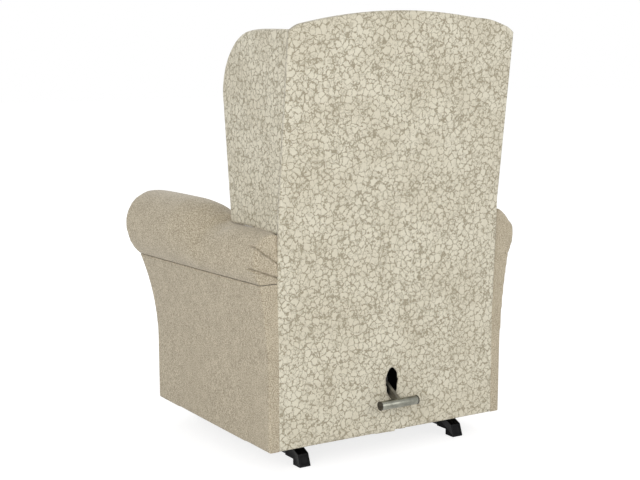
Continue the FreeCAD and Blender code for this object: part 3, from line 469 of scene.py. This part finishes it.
def other_side(obj, name):
    """The same piece mirrored to the sitter's right."""
    bm = bmesh.new()
    bm.from_mesh(obj.data)
    bmesh.ops.scale(bm, vec=(-1.0, 1.0, 1.0), verts=bm.verts)
    bmesh.ops.reverse_faces(bm, faces=bm.faces)
    return piece_from(bm, name)


def dress_pair(left, right, name, slot):
    """Dress a piece and its fellow on the other side."""
    for obj, node in ((left, name + "_left"), (right, name + "_right")):
        dress(obj, node, slot)


# Cushions

CUSHION_TUCK = 0.004
CUSHION_SWELL = 0.014
SEAT_HELD = 0.020
BACK_FACE = 0.130
BACK_FACE_LEAN = 0.06
TONGUE = 0.075
TONGUE_Y = 0.235
TONGUE_DEPTH = 0.050
TONGUE_HEIGHT = 0.060
PAD_TUCK = 0.002
PAD_SWELL = 0.008
PAD_HELD = 0.012


def seat_cushion():
    low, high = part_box("seat_cushion")
    obj = even_skin("seat_cushion", "seat_cushion_cover", WIDE_VOXEL, CUSHION_TUCK, 6)
    swell(obj, CUSHION_SWELL, lambda p: p.z < low.z + SEAT_HELD or p.y > high.y - SEAT_HELD)
    dress(finer(obj), "seat_cushion", "pebble_fabric")


def back_cushion():
    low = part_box("back_cushion")[0]
    obj = even_skin("back_cushion", "back_cushion_cover", WIDE_VOXEL, CUSHION_TUCK, 6)
    swell(obj, CUSHION_SWELL, lambda p: p.y > low.y + BACK_FACE + (p.z - low.z) * BACK_FACE_LEAN)

    def tongue(p):
        """Carry the cushion's foot down behind the seat, where the inside back is tucked in."""
        reach = near_end(-p.z, -low.z, TONGUE_HEIGHT)
        return (0.0, 0.0, -TONGUE * near_end(p.y, TONGUE_Y, TONGUE_DEPTH) * reach)

    shift(obj, tongue)
    dress(finer(obj), "back_cushion", "pebble_fabric")


def footrest_pad():
    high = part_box("footrest_pad")[1]
    obj = even_skin("footrest_pad", "footrest_pad_cover", FINE_VOXEL, PAD_TUCK, 5)
    swell(obj, PAD_SWELL, lambda p: p.y > high.y - PAD_HELD)
    dress(finer(obj), "footrest_pad", "plain_fabric")


def covered_boards():
    """The cloth over the rail under the seat's front edge and round the footrest's board."""
    for node in ("seat_front_rail", "footrest_board"):
        obj = even_skin(node, node + "_cover", BOARD_VOXEL, 0.0, 2)
        dress(obj, node, "plain_fabric")


# Wings: the foot rests on the arm's roll, the rear runs into the back's cover

WING_TUCK = 0.001
WING_SWELL = 0.006
WING_HELD_REAR = 0.050
WING_HELD_OUTER = 0.006
WING_HELD_FOOT = 0.030
WING_LAP = 0.008
WING_LAP_REACH = 0.018
WING_AHEAD = 0.003
WING_AHEAD_REACH = 0.050
WING_SINK = 0.0055
WING_SINK_REACH = 0.030
WING_TOE_SINK = 0.004
WING_TOE_REACH = 0.140


def wings():
    low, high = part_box("wing_left")

    def held(p):
        rear_or_foot = p.y > high.y - WING_HELD_REAR or p.z < low.z + WING_HELD_FOOT
        return rear_or_foot or p.x > high.x - WING_HELD_OUTER

    def seat(p):
        """Close the joins with the arm and with the back's cover."""
        lap = WING_LAP * near_end(p.y, cover_face(p.z) - COVER_DEPTH, WING_LAP_REACH)
        ahead = WING_AHEAD * near_end(-p.y, -low.y, WING_AHEAD_REACH)
        sink = WING_SINK + WING_TOE_SINK * near_end(-p.y, -low.y, WING_TOE_REACH)
        return (0.0, lap - ahead, -sink * near_end(-p.z, -low.z, WING_SINK_REACH))

    obj = even_skin("wing_left", "wing_left_cover", FINE_VOXEL, WING_TUCK, 4)
    left = finer(shift(swell(obj, WING_SWELL, held), seat))
    dress_pair(left, other_side(left, "wing_right_cover"), "wing", "pebble_fabric")


# Arms. A zone is an (end, depth) pair for near_end or a (middle, spread) pair for hill

ROLL_SWELL = 0.006
ROLL_HELD = 0.020
ROLL_HELD_REAR = 0.030
ROLL_UPPER = (0.575, 0.060)
ROLL_REAR = (0.220, 0.120)
ROLL_REAR_RISE = 0.004
SLOPE_ZONE = (0.036, 0.028)
SLOPE_DROP = 0.013
FOOT_ZONE = (0.098, 0.036)
FOOT_OUTER = (0.332, 0.012)
FOOT_DROP = 0.007
BY_WING_Y = (-0.10, 0.17)
BY_WING_Z = 0.50
BY_WING_INNER = 0.010
CORNER = (0.336, 0.260)
CORNER_FOOT = 0.012
SEAM_GAP = 0.0008
SEAM_DEPTH = 0.004
SEAM_OUTER = (0.325, 0.010)
REAR_LAP = 0.007
REAR_LAP_INNER = (-0.320, 0.010)
REAR_LAP_REACH = 0.020
HEM_DEPTH = 0.012
HEM_DROP = 0.0015
HEM_REAR_DROP = 0.003

# Pleats at the left roll's rear end: how deep each is pressed, and its (x, z) points
ROLL_PLEATS = ((0.0046, ((0.376, 0.551), (0.359, 0.536), (0.338, 0.521), (0.318, 0.508))),
               (0.0055, ((0.381, 0.498), (0.365, 0.492), (0.344, 0.484), (0.318, 0.474))))
PLEAT_WIDTH = 0.0016
PLEAT_FRONT = 0.268

# The right arm's rear end is lifted, with a rounder shoulder, a fuller lower half and a shut seam
RIGHT_REACH = 0.220
RIGHT_LIFT = 0.015
RIGHT_LIFT_OUTER = (0.328, 0.010)
RIGHT_LIFT_UP = (0.460, 0.380)
RIGHT_LIFT_OUT = 0.004
RIGHT_ROUND = 0.022
RIGHT_ROUND_OUTER = (0.367, 0.041)
RIGHT_ROUND_UP = (0.572, 0.045)
RIGHT_FULL = 0.0035
RIGHT_FULL_OUTER = (0.340, 0.012)
RIGHT_FULL_ZONE = (0.503, 0.018)
RIGHT_SHUT = 0.0025
RIGHT_SHUT_DEPTH = 0.008


def lifted_end(p):
    """The right arm's cover sits a little higher and fuller at its rear end."""
    rear = near_end(p.y, REAR_Y, RIGHT_REACH) * near_end(-p.x, *RIGHT_LIFT_OUTER)
    up = near_end(p.z, *RIGHT_LIFT_UP)
    shoulder = near_end(-p.x, *RIGHT_ROUND_OUTER) ** 2 * near_end(p.z, *RIGHT_ROUND_UP)
    return (-RIGHT_LIFT_OUT * rear * up, 0.0, (RIGHT_LIFT * up - RIGHT_ROUND * shoulder) * rear)


def behind_cover(p):
    """Run an arm's rear end in under the back cover's edge."""
    inner = near_end(-p.x, *REAR_LAP_INNER)
    return (-REAR_LAP * inner * near_end(p.y, REAR_Y, REAR_LAP_REACH), 0.0, 0.0)


def arm_rolls():
    low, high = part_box("arm_roll_left")

    def by_wing(p):
        return BY_WING_Y[0] < p.y < BY_WING_Y[1] and p.z > BY_WING_Z and p.x > low.x + BY_WING_INNER

    def rear_corner(p):
        return p.x > CORNER[0] and p.y > CORNER[1] and p.z > low.z + CORNER_FOOT

    def held(p):
        return p.x < low.x + ROLL_HELD or p.z < low.z + ROLL_HELD or p.y > high.y - ROLL_HELD_REAR

    def fill_out(p):
        """Let the roll slope gently down to the wing's foot, and keep it full further back."""
        slope = SLOPE_DROP * hill(p.y, *SLOPE_ZONE)
        foot = FOOT_DROP * hill(p.y, *FOOT_ZONE) * near_end(p.x, *FOOT_OUTER)
        rear = ROLL_REAR_RISE * near_end(p.y, *ROLL_REAR)
        return (0.0, 0.0, (rear - slope - foot) * near_end(p.z, *ROLL_UPPER))

    def open_seam(p):
        """Lift the left roll's lower edge off the side panel's top, for the dark line of their seam."""
        edge = near_end(-p.z, -low.z, SEAM_DEPTH) * near_end(p.x, *SEAM_OUTER)
        return (0.0, 0.0, SEAM_GAP / 2 * edge)

    def shut_seam(p):
        """Press the right roll's lower edge into the side panel's top."""
        edge = near_end(-p.z, -low.z, RIGHT_SHUT_DEPTH)
        return (0.0, 0.0, -RIGHT_SHUT * edge * near_end(-p.x, *SEAM_OUTER))

    def fuller_end(p):
        """Round out the lower half of the right roll's rear end."""
        rear = near_end(p.y, REAR_Y, RIGHT_REACH) * near_end(-p.x, *RIGHT_FULL_OUTER)
        return (-RIGHT_FULL * rear * hill(p.z, *RIGHT_FULL_ZONE), 0.0, 0.0)

    left = even_skin("arm_roll_left", "arm_roll_left_cover", FINE_VOXEL, 0.0, 5)
    ease_near(left, by_wing, 20)
    ease_near(shift(left, fill_out), by_wing, 4)
    ease_near(left, rear_corner, 14)
    swell(left, ROLL_SWELL, held)
    finer(shift(left, behind_cover))
    right = other_side(left, "arm_roll_right_cover")
    for move in (shut_seam, lifted_end, fuller_end):
        shift(right, move)
    shift(left, open_seam)
    for depth, pleat in ROLL_PLEATS:
        press_fold(left, pleat, PLEAT_WIDTH, depth, lambda p: p.y > PLEAT_FRONT)
    dress_pair(left, right, "arm_roll", "plain_fabric")


def arm_panels():
    """Outer sides, front facings and the inner arm walls."""
    low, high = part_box("arm_side_left")

    def join(p):
        """Run the rear in under the back cover, and square up the hem."""
        drop = HEM_DROP + HEM_REAR_DROP * (p.y - low.y) / (high.y - low.y)
        hem = near_end(-p.z, -low.z, HEM_DEPTH) * drop
        return Vector(behind_cover(p)) + Vector((0.0, 0.0, -hem))

    def open_seam(p):
        """Leave the seam with the roll open on the left."""
        return (0.0, 0.0, -SEAM_GAP / 2 * near_end(p.z, high.z, SEAM_DEPTH))

    left = shift(even_skin("arm_side_left", "arm_side_left_cover", PANEL_VOXEL, 0.0, 10), join)
    right = shift(other_side(left, "arm_side_right_cover"), lifted_end)
    dress_pair(shift(left, open_seam), right, "arm_side", "plain_fabric")
    for name, voxel in (("arm_facing", PANEL_VOXEL), ("arm_core", WIDE_VOXEL)):
        left = even_skin(name + "_left", name + "_left_cover", voxel, 0.0005, 3)
        dress_pair(left, other_side(left, name + "_right_cover"), name, "plain_fabric")


# Outside back: one cloth from the arched top to the hem, open at the lever slot

REAR_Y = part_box("rear_flap")[1].y
COVER_DEPTH = REAR_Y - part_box("rear_flap")[0].y
PANEL_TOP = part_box("outside_back")[1]
PIVOT_Z = sum(corner.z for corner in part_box("recline_pins")) / 2
KNEE = (REAR_Y + 0.013, 0.620)

COVER_COLUMNS = 122
COVER_ROWS = 196
COVER_EDGE = 0.010
COVER_ROUND = 0.005
COVER_BULGE = 0.004
COVER_HEM = 0.004
COVER_WAVE = 0.0012
WAVES = (6, 5)
WAVE_SEED = 3.7
SHOULDER_WIDTH = 0.034
SHOULDER_RISE = 0.017
SHOULDER_SINK = 0.006
SHOULDER_CURVE = 1.6
RIGHT_SHOULDER = (-0.245, 0.035)
RIGHT_SHOULDER_RISE = 0.004
ROUNDING = 1e-6

# The slot's middle and half axes, as (x, z), and the slit in the hem below it
SLOT_MIDDLE = (-0.0055, 0.183)
SLOT_HALF = (0.0172, 0.0350)
SLOT_POWER = 2.1
SLOT_ROOM = (0.045, 0.245)
SLOT_RIM = 0.060
SLOT_REACH = 0.080
LIP_DEPTH = 0.004
LIP_WIDTH = 0.004
FRAY = 0.16
FRAY_SCALE = 2.6
FRAY_SEED = 0.4
SLIT_TOP = 0.8
SLIT_ASIDE = 0.009
SLIT_DEPTH = 0.0016
SLIT_WIDTH = 0.0022
HEM_STEP = 0.0022
HEM_STEP_REACH = 0.030


def cover_face(z):
    """The flat cover's rear face at height z."""
    if z < KNEE[1]:
        return REAR_Y + (KNEE[0] - REAR_Y) * max(z - PIVOT_Z, 0.0) / (KNEE[1] - PIVOT_Z)
    return KNEE[0] + (PANEL_TOP.y - KNEE[0]) * (z - KNEE[1]) / (PANEL_TOP.z - KNEE[1])


def slot_reach(angle):
    """Distance from the slot's middle to its frayed edge, by angle from +X towards +Z."""
    across, upright = SLOT_HALF
    c, s = math.cos(angle), math.sin(angle)
    oval = 1 / ((abs(c) / across) ** SLOT_POWER + (abs(s) / upright) ** SLOT_POWER) ** (1 / SLOT_POWER)
    return oval * (1 + FRAY * noise.noise(Vector((c * FRAY_SCALE, s * FRAY_SCALE, FRAY_SEED))))


def open_slot(bm, hem):
    """Cut the lever slot in the cover's lower part, roll its edge in and crease the cloth under it."""
    half_room, room_top = SLOT_ROOM
    near = [face for face in bm.faces
            if abs(face.calc_center_median().x) < half_room and face.calc_center_median().z < room_top]
    edges = list({edge for face in near for edge in face.edges})
    bmesh.ops.subdivide_edges(bm, edges=edges, cuts=1, use_grid_fill=True)
    cx, cz = SLOT_MIDDLE

    def place(co):
        dx, dz = co.x - cx, co.z - cz
        return math.hypot(dx, dz), math.atan2(dz, dx)

    inside = []
    for face in bm.faces:
        away, angle = place(face.calc_center_median())
        if away < slot_reach(angle):
            inside.append(face)
    bmesh.ops.delete(bm, geom=inside, context="FACES")
    for vertex in bm.verts:
        away, angle = place(vertex.co)
        reach = slot_reach(angle)
        if vertex.is_boundary and away < SLOT_RIM:
            vertex.co.x = cx + math.cos(angle) * reach
            vertex.co.z = cz + math.sin(angle) * reach
            away = reach
        lip = max(away - reach, 0.0)
        vertex.co.y = -LIP_DEPTH * math.exp(-lip / LIP_WIDTH) if away < SLOT_REACH else 0.0
        if vertex.co.z < cz - SLOT_HALF[1] * SLIT_TOP:
            across = vertex.co.x - cx + SLIT_ASIDE
            aside = math.exp(-abs(across) / HEM_STEP_REACH)
            step = HEM_STEP * aside * math.exp(-(vertex.co.z - hem) / HEM_STEP_REACH)
            vertex.co.z += -step if across > 0 else step
            vertex.co.y -= SLIT_DEPTH * hill(across, 0.0, SLIT_WIDTH)


def back_cover():
    half = PANEL_TOP.x
    top = PANEL_TOP.z
    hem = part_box("rear_flap")[0].z - COVER_HEM
    end_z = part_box("wing_left")[1].z - SHOULDER_SINK
    shoulder_x = half - SHOULDER_WIDTH
    shoulder_z = end_z + SHOULDER_RISE
    rise = top - shoulder_z
    radius = (shoulder_x ** 2 + rise ** 2) / (2 * rise)

    def arch(x):
        """Height of the cover's top edge at x."""
        fuller = RIGHT_SHOULDER_RISE * hill(x, *RIGHT_SHOULDER)
        x = abs(x)
        if x < shoulder_x:
            return top - radius + math.sqrt(radius ** 2 - x ** 2) + fuller
        t = (x - shoulder_x) / (half - shoulder_x)
        return shoulder_z + (end_z - shoulder_z) * t ** SHOULDER_CURVE

    bm = bmesh.new()
    bmesh.ops.create_grid(bm, x_segments=COVER_COLUMNS, y_segments=COVER_ROWS, size=1.0)
    last_column = 1 - 2 / COVER_COLUMNS
    last_row = 1 - 2 / COVER_ROWS
    for vertex in bm.verts:
        u, v = vertex.co.x, vertex.co.y
        if abs(u) <= last_column + ROUNDING:
            x = u / last_column * (half - COVER_EDGE)
        else:
            x = math.copysign(half, u)
        ceiling = arch(x)
        if v <= last_row + ROUNDING:
            share = (v + 1) / (last_row + 1)
            z = hem + share * (ceiling - COVER_EDGE - hem)
        else:
            z = ceiling
        vertex.co = (x, 0.0, z)
    open_slot(bm, hem)
    for vertex in bm.verts:
        x, z = vertex.co.x, vertex.co.z
        across = 1 - (x / half) ** 2
        upright = math.sin(math.pi * min(max((z - hem) / (top - hem), 0.0), 1.0))
        wave = noise.noise(Vector((x * WAVES[0], WAVE_SEED, z * WAVES[1]))) * COVER_WAVE
        vertex.co.y = cover_face(z) + COVER_BULGE * across * upright + wave * across + vertex.co.y
    bmesh.ops.recalc_face_normals(bm, faces=bm.faces)
    if sum(face.normal.y for face in bm.faces) < 0:
        bmesh.ops.reverse_faces(bm, faces=bm.faces)

    def key(vertex):
        return tuple(round(c, 6) for c in vertex.co)

    rim = [edge for edge in bm.edges
           if edge.is_boundary and max(abs(vertex.co.x) for vertex in edge.verts) > 0.05]
    places = {key(vertex) for edge in rim for vertex in edge.verts}
    bmesh.ops.solidify(bm, geom=bm.faces[:], thickness=COVER_DEPTH)
    bmesh.ops.recalc_face_normals(bm, faces=bm.faces)
    outer = [edge for edge in bm.edges
             if all(key(vertex) in places for vertex in edge.verts) and edge.calc_face_angle(0.0) > 1.0]
    bmesh.ops.bevel(bm, geom=outer, offset=COVER_ROUND, affect="EDGES", segments=4, profile=0.5, material=-1)
    obj = piece_from(bm, "back_cover")
    obj.data.materials.append(MATERIALS["pebble_fabric"])
    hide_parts("outside_back", "rear_flap")
    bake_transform(obj)


# Small pieces at the lever and under the chair

CAP_LENGTH = 0.0028
CAP_FLANGE = 0.0005
CAP_RIM = 0.0026
CAP_DISH = 0.0014
CAP_ROUND = 0.0005
CAP_PROUD = 0.2
FOOT_PANEL_AREA = 0.0006
FOOT_RIM = 0.003
FOOT_PANEL_DEPTH = 0.0012
FOOT_ROUND = 0.0007

# Shade cloths, near-black sheets of painted shade that darken the view through the lever slot: how they meet
# the rails, clear the lever and the brake plate, lap and hang slack
SHADE_CLOTH_RAIL_GAP = 0.001
SHADE_CLOTH_RAIL_LAP = 0.012
SHADE_CLOTH_FOOT_IN = 0.003
SHADE_CLOTH_FOOT_GAP = 0.001
SHADE_CLOTH_PIN_ROOM = 0.0025
SHADE_CLOTH_SIDE_ROOM = 0.002
SHADE_CLOTH_BRACKET_ROOM = 0.0005
SHADE_CLOTH_BRACKET_TURN = 0.002
SHADE_CLOTH_PLATE_ROOM = 0.006
SHADE_CLOTH_PLATE_RISE = 0.004
SHADE_CLOTH_LAP = 0.004
SHADE_CLOTH_LAP_GAP = 0.0015
SHADE_CLOTH_LAP_REACH = 0.020
SHADE_CLOTH_SLACK = 0.0025


def handle_caps():
    """Dished plastic caps that close the T-handle's tube."""
    low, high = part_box("lever_handle")
    middle = (low + high) / 2
    radius = (high.z - low.z) / 2 + CAP_FLANGE
    along_x = Matrix.Rotation(math.radians(90), 3, "Y")
    bm = bmesh.new()
    bmesh.ops.create_cone(bm, cap_ends=True, cap_tris=False, segments=40, radius1=radius, radius2=radius,
                          depth=CAP_LENGTH)
    face = max(bm.faces, key=lambda f: f.calc_center_median().z)
    bmesh.ops.inset_region(bm, faces=[face], thickness=CAP_RIM)
    bmesh.ops.translate(bm, vec=(0.0, 0.0, -CAP_DISH), verts=face.verts)
    round_corners(bm, 0.6, CAP_ROUND)
    bmesh.ops.rotate(bm, cent=(0.0, 0.0, 0.0), matrix=along_x, verts=bm.verts)
    bmesh.ops.translate(bm, vec=(high.x + CAP_LENGTH * CAP_PROUD, middle.y, middle.z), verts=bm.verts)
    left = piece_from(bm, "handle_cap_left")
    for obj in (left, other_side(left, "handle_cap_right")):
        obj.data.materials.append(MATERIALS["cap_plastic"])
        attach(obj, BODY_OF["lever_handle"])


def feet():
    """Moulded feet with a shallow panel sunk in each broad face."""
    for node in ("rear_foot_left", "rear_foot_right", "front_foot_left", "front_foot_right"):
        bm = solid_of(node)
        bmesh.ops.dissolve_limit(bm, angle_limit=math.radians(2), verts=bm.verts, edges=bm.edges)
        broad = [face for face in bm.faces
                 if abs(face.normal.z) < 0.8 and face.calc_area() > FOOT_PANEL_AREA]
        bmesh.ops.inset_individual(bm, faces=broad, thickness=FOOT_RIM, depth=-FOOT_PANEL_DEPTH,
                                   use_even_offset=True)
        round_corners(bm, 0.5, FOOT_ROUND)
        bmesh.ops.recalc_face_normals(bm, faces=bm.faces)
        obj = piece_from(bm, node + "_moulding")
        obj.data.materials.append(MATERIALS["black_plastic"])
        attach(obj, BODY_OF[node])
        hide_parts(node)


def shade_cloths():
    """Black cloths stretched between the seat's rear rail and the bottom rail, lapped under the lever:
    painted shade, dark sheets that stand in for the shade seen through the lever slot.
    """
    top_rail, bottom_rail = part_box("seat_rear_rail"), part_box("rear_bottom_rail")
    top = (top_rail[1].y + SHADE_CLOTH_RAIL_GAP, top_rail[0].z + SHADE_CLOTH_RAIL_LAP)
    foot = (bottom_rail[0].y + SHADE_CLOTH_FOOT_IN, bottom_rail[1].z + SHADE_CLOTH_FOOT_GAP)
    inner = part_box("lever_pin")[1].x + SHADE_CLOTH_PIN_ROOM
    outer = top_rail[1].x - SHADE_CLOTH_SIDE_ROOM
    bracket_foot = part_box("lever_bracket")[0].z - SHADE_CLOTH_BRACKET_ROOM
    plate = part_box("brake_plate")[1]

    def inner_edge(z):
        """The left cloth's inner edge at height z, clear of the lever above and of the brake plate below."""
        at_lever = near_end(z, bracket_foot, SHADE_CLOTH_BRACKET_TURN)
        at_plate = near_end(-z, -plate.z - SHADE_CLOTH_PLATE_RISE, SHADE_CLOTH_PLATE_RISE)
        return (inner + SHADE_CLOTH_LAP) * at_lever + (plate.x + SHADE_CLOTH_PLATE_ROOM + SHADE_CLOTH_LAP) * at_plate - SHADE_CLOTH_LAP

    def ahead(p):
        """Pass the right cloth's lap ahead of the left one's."""
        return (0.0, -SHADE_CLOTH_LAP_GAP * near_end(p.x, SHADE_CLOTH_LAP, SHADE_CLOTH_LAP_REACH), 0.0)

    bm = bmesh.new()
    bmesh.ops.create_grid(bm, x_segments=40, y_segments=64, size=0.5)
    for vertex in bm.verts:
        across, up = vertex.co.x + 0.5, vertex.co.y + 0.5
        slack = 4 * up * (1 - up) * noise.noise(Vector((across * 5, up * 2, 1.3))) * SHADE_CLOTH_SLACK
        z = foot[1] + (top[1] - foot[1]) * up
        edge = inner_edge(z)
        vertex.co = (edge + (outer - edge) * across, foot[0] + (top[0] - foot[0]) * up + slack, z)
    bmesh.ops.reverse_faces(bm, faces=bm.faces)
    left = piece_from(bm, "shade_cloth_left")
    right = shift(other_side(left, "shade_cloth_right"), ahead)
    for obj in (left, right):
        obj.data.materials.append(MATERIALS["shade_cloth"])
        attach(obj, BODY_OF["seat_rear_rail"])


# Hard pieces keep their solids, with eased edges and a finish

HARD_FINISH = {
    "satin_steel": ("lever_handle",),
    "shaded_steel": ("lever_arm", "lever_pin"),
    "shoe_rubber": ("brake_shoe",),
    "frame_wood": ("seat_rail_left", "seat_rail_right", "seat_rear_rail", "rear_bottom_rail",
                   "back_post_left", "back_post_right", "back_rails"),
    "webbing": ("seat_webbing",),
    "zinc_steel": ("hanger_bolts", "upper_glide_pins", "lower_glide_pins", "recline_pins",
                   "footrest_hip_pins", "footrest_knee_pins", "footrest_ankle_pins"),
    "black_steel": ("base_rail_left", "base_rail_right", "front_cross_tube", "rear_cross_tube",
                    "glide_hangers_left", "glide_hangers_right", "brake_plate", "front_glide_link_left",
                    "front_glide_link_right", "rear_glide_link_left", "rear_glide_link_right",
                    "seat_side_plate_left", "seat_side_plate_right", "back_brackets", "footrest_thigh_links",
                    "footrest_shin_links", "footrest_lugs", "lever_bracket"),
}
EDGE_EASE = {"satin_steel": 0.0006, "shaded_steel": 0.0006, "frame_wood": 0.0015, "shoe_rubber": 0.0012,
             "webbing": 0.0004, "zinc_steel": 0.0005, "black_steel": 0.0006}
EDGE_ANGLE = math.radians(40)


def hard_pieces():
    for slot, nodes in HARD_FINISH.items():
        for node in nodes:
            obj = NODES[node]
            obj.data.materials.clear()
            obj.data.materials.append(MATERIALS[slot])
            weld = obj.modifiers.new("weld", "WELD")
            weld.merge_threshold = MERGE
            ease = obj.modifiers.new("ease", "BEVEL")
            ease.width = EDGE_EASE[slot]
            ease.segments = 2
            ease.limit_method = "ANGLE"
            ease.angle_limit = EDGE_ANGLE


# Studio: pale floor, soft lights and the photograph's camera

CAMERA_PLACE = (1.79044, 2.84797, 1.00101)
CAMERA_YAW = 31.9149
CAMERA_PITCH = 8.47981
CAMERA_ROLL = -0.18196
CAMERA_LENS = 73.076
CAMERA_SENSOR = 36.0

WORLD_LIGHT = 0.62
FLOOR_HALF = 20.0
FLOOR_PAPER = (0.86, 0.86, 0.86, 1.0)
FLOOR_GLOW = 1.45
FLOOR_GLOW_SHARE = 0.55
LAMP_SIZE = 3.0

# Each lamp's place, what it points at, and its power
LAMPS = {
    "key": ((-1.6, 4.4, 1.7), (0.0, 0.2, 0.4), 46.0),
    "side": ((3.7, 3.0, 1.9), (0.2, 0.0, 0.5), 89.0),
    "front": ((-1.5, -4.0, 3.0), (0.0, 0.0, 0.5), 70.0),
}


def flat_light(name, place, aim, power):
    data = bpy.data.lights.new(name, "AREA")
    data.shape = "DISK"
    data.size = LAMP_SIZE
    data.energy = power
    lamp = link(bpy.data.objects.new(name, data))
    lamp.location = place
    lamp.rotation_euler = (Vector(aim) - Vector(place)).to_track_quat("-Z", "Y").to_euler()


def seen_directly(tree):
    """1 for camera, glossy and transmission rays, 0 for the rays that light the object."""
    path = tree.nodes.new("ShaderNodeLightPath")
    total = path.outputs["Is Camera Ray"]
    for ray in ("Is Glossy Ray", "Is Transmission Ray"):
        either = tree.nodes.new("ShaderNodeMath")
        either.operation = "MAXIMUM"
        tree.links.new(total, either.inputs[0])
        tree.links.new(path.outputs[ray], either.inputs[1])
        total = either.outputs["Value"]
    return total


def white_world():
    world = bpy.data.worlds.new("studio")
    bpy.context.scene.world = world
    world.use_nodes = True
    tree = world.node_tree
    light = tree.nodes["Background"]
    light.inputs["Color"].default_value = (1.0, 1.0, 1.0, 1.0)
    level = tree.nodes.new("ShaderNodeMapRange")
    level.inputs["To Min"].default_value = WORLD_LIGHT
    level.inputs["To Max"].default_value = 1.0
    tree.links.new(seen_directly(tree), level.inputs["Value"])
    tree.links.new(level.outputs["Result"], light.inputs["Strength"])


def pale_floor():
    bm = bmesh.new()
    bmesh.ops.create_grid(bm, x_segments=1, y_segments=1, size=FLOOR_HALF)
    floor = piece_from(bm, "floor")
    material = bpy.data.materials.new("floor_paper")
    material.use_nodes = True
    tree = material.node_tree
    paper = tree.nodes["Principled BSDF"]
    paper.inputs["Base Color"].default_value = FLOOR_PAPER
    paper.inputs["Roughness"].default_value = 1.0
    paper.inputs["Specular IOR Level"].default_value = 0.0
    glow = tree.nodes.new("ShaderNodeEmission")
    glow.inputs["Strength"].default_value = FLOOR_GLOW
    mix = tree.nodes.new("ShaderNodeMixShader")
    share = tree.nodes.new("ShaderNodeMath")
    share.operation = "MULTIPLY"
    share.inputs[1].default_value = FLOOR_GLOW_SHARE
    tree.links.new(seen_directly(tree), share.inputs[0])
    tree.links.new(share.outputs["Value"], mix.inputs["Fac"])
    tree.links.new(paper.outputs["BSDF"], mix.inputs[1])
    tree.links.new(glow.outputs["Emission"], mix.inputs[2])
    tree.links.new(mix.outputs["Shader"], tree.nodes["Material Output"].inputs["Surface"])
    floor.data.materials.append(material)


def camera():
    yaw, pitch, roll = (math.radians(a) for a in (CAMERA_YAW, CAMERA_PITCH, CAMERA_ROLL))
    ahead = Vector((-math.sin(yaw) * math.cos(pitch), -math.cos(yaw) * math.cos(pitch), -math.sin(pitch)))
    right = ahead.cross(Vector((0.0, 0.0, 1.0))).normalized()
    up = right.cross(ahead)
    right, up = (right * math.cos(roll) + up * math.sin(roll), up * math.cos(roll) - right * math.sin(roll))
    data = bpy.data.cameras.new("camera")
    data.sensor_fit = "HORIZONTAL"
    data.sensor_width = CAMERA_SENSOR
    data.lens = CAMERA_LENS
    made = link(bpy.data.objects.new("camera", data))
    turn = Matrix((right, up, -ahead)).transposed().to_4x4()
    made.matrix_world = Matrix.Translation(CAMERA_PLACE) @ turn
    bpy.context.scene.camera = made


def studio():
    bpy.context.scene.view_settings.view_transform = "Standard"
    white_world()
    pale_floor()
    for name, (place, aim, power) in LAMPS.items():
        flat_light(name, place, aim, power)
    camera()


studio()
seat_cushion()
back_cushion()
wings()
arm_rolls()
arm_panels()
covered_boards()
footrest_pad()
back_cover()
handle_caps()
feet()
shade_cloths()
hard_pieces()
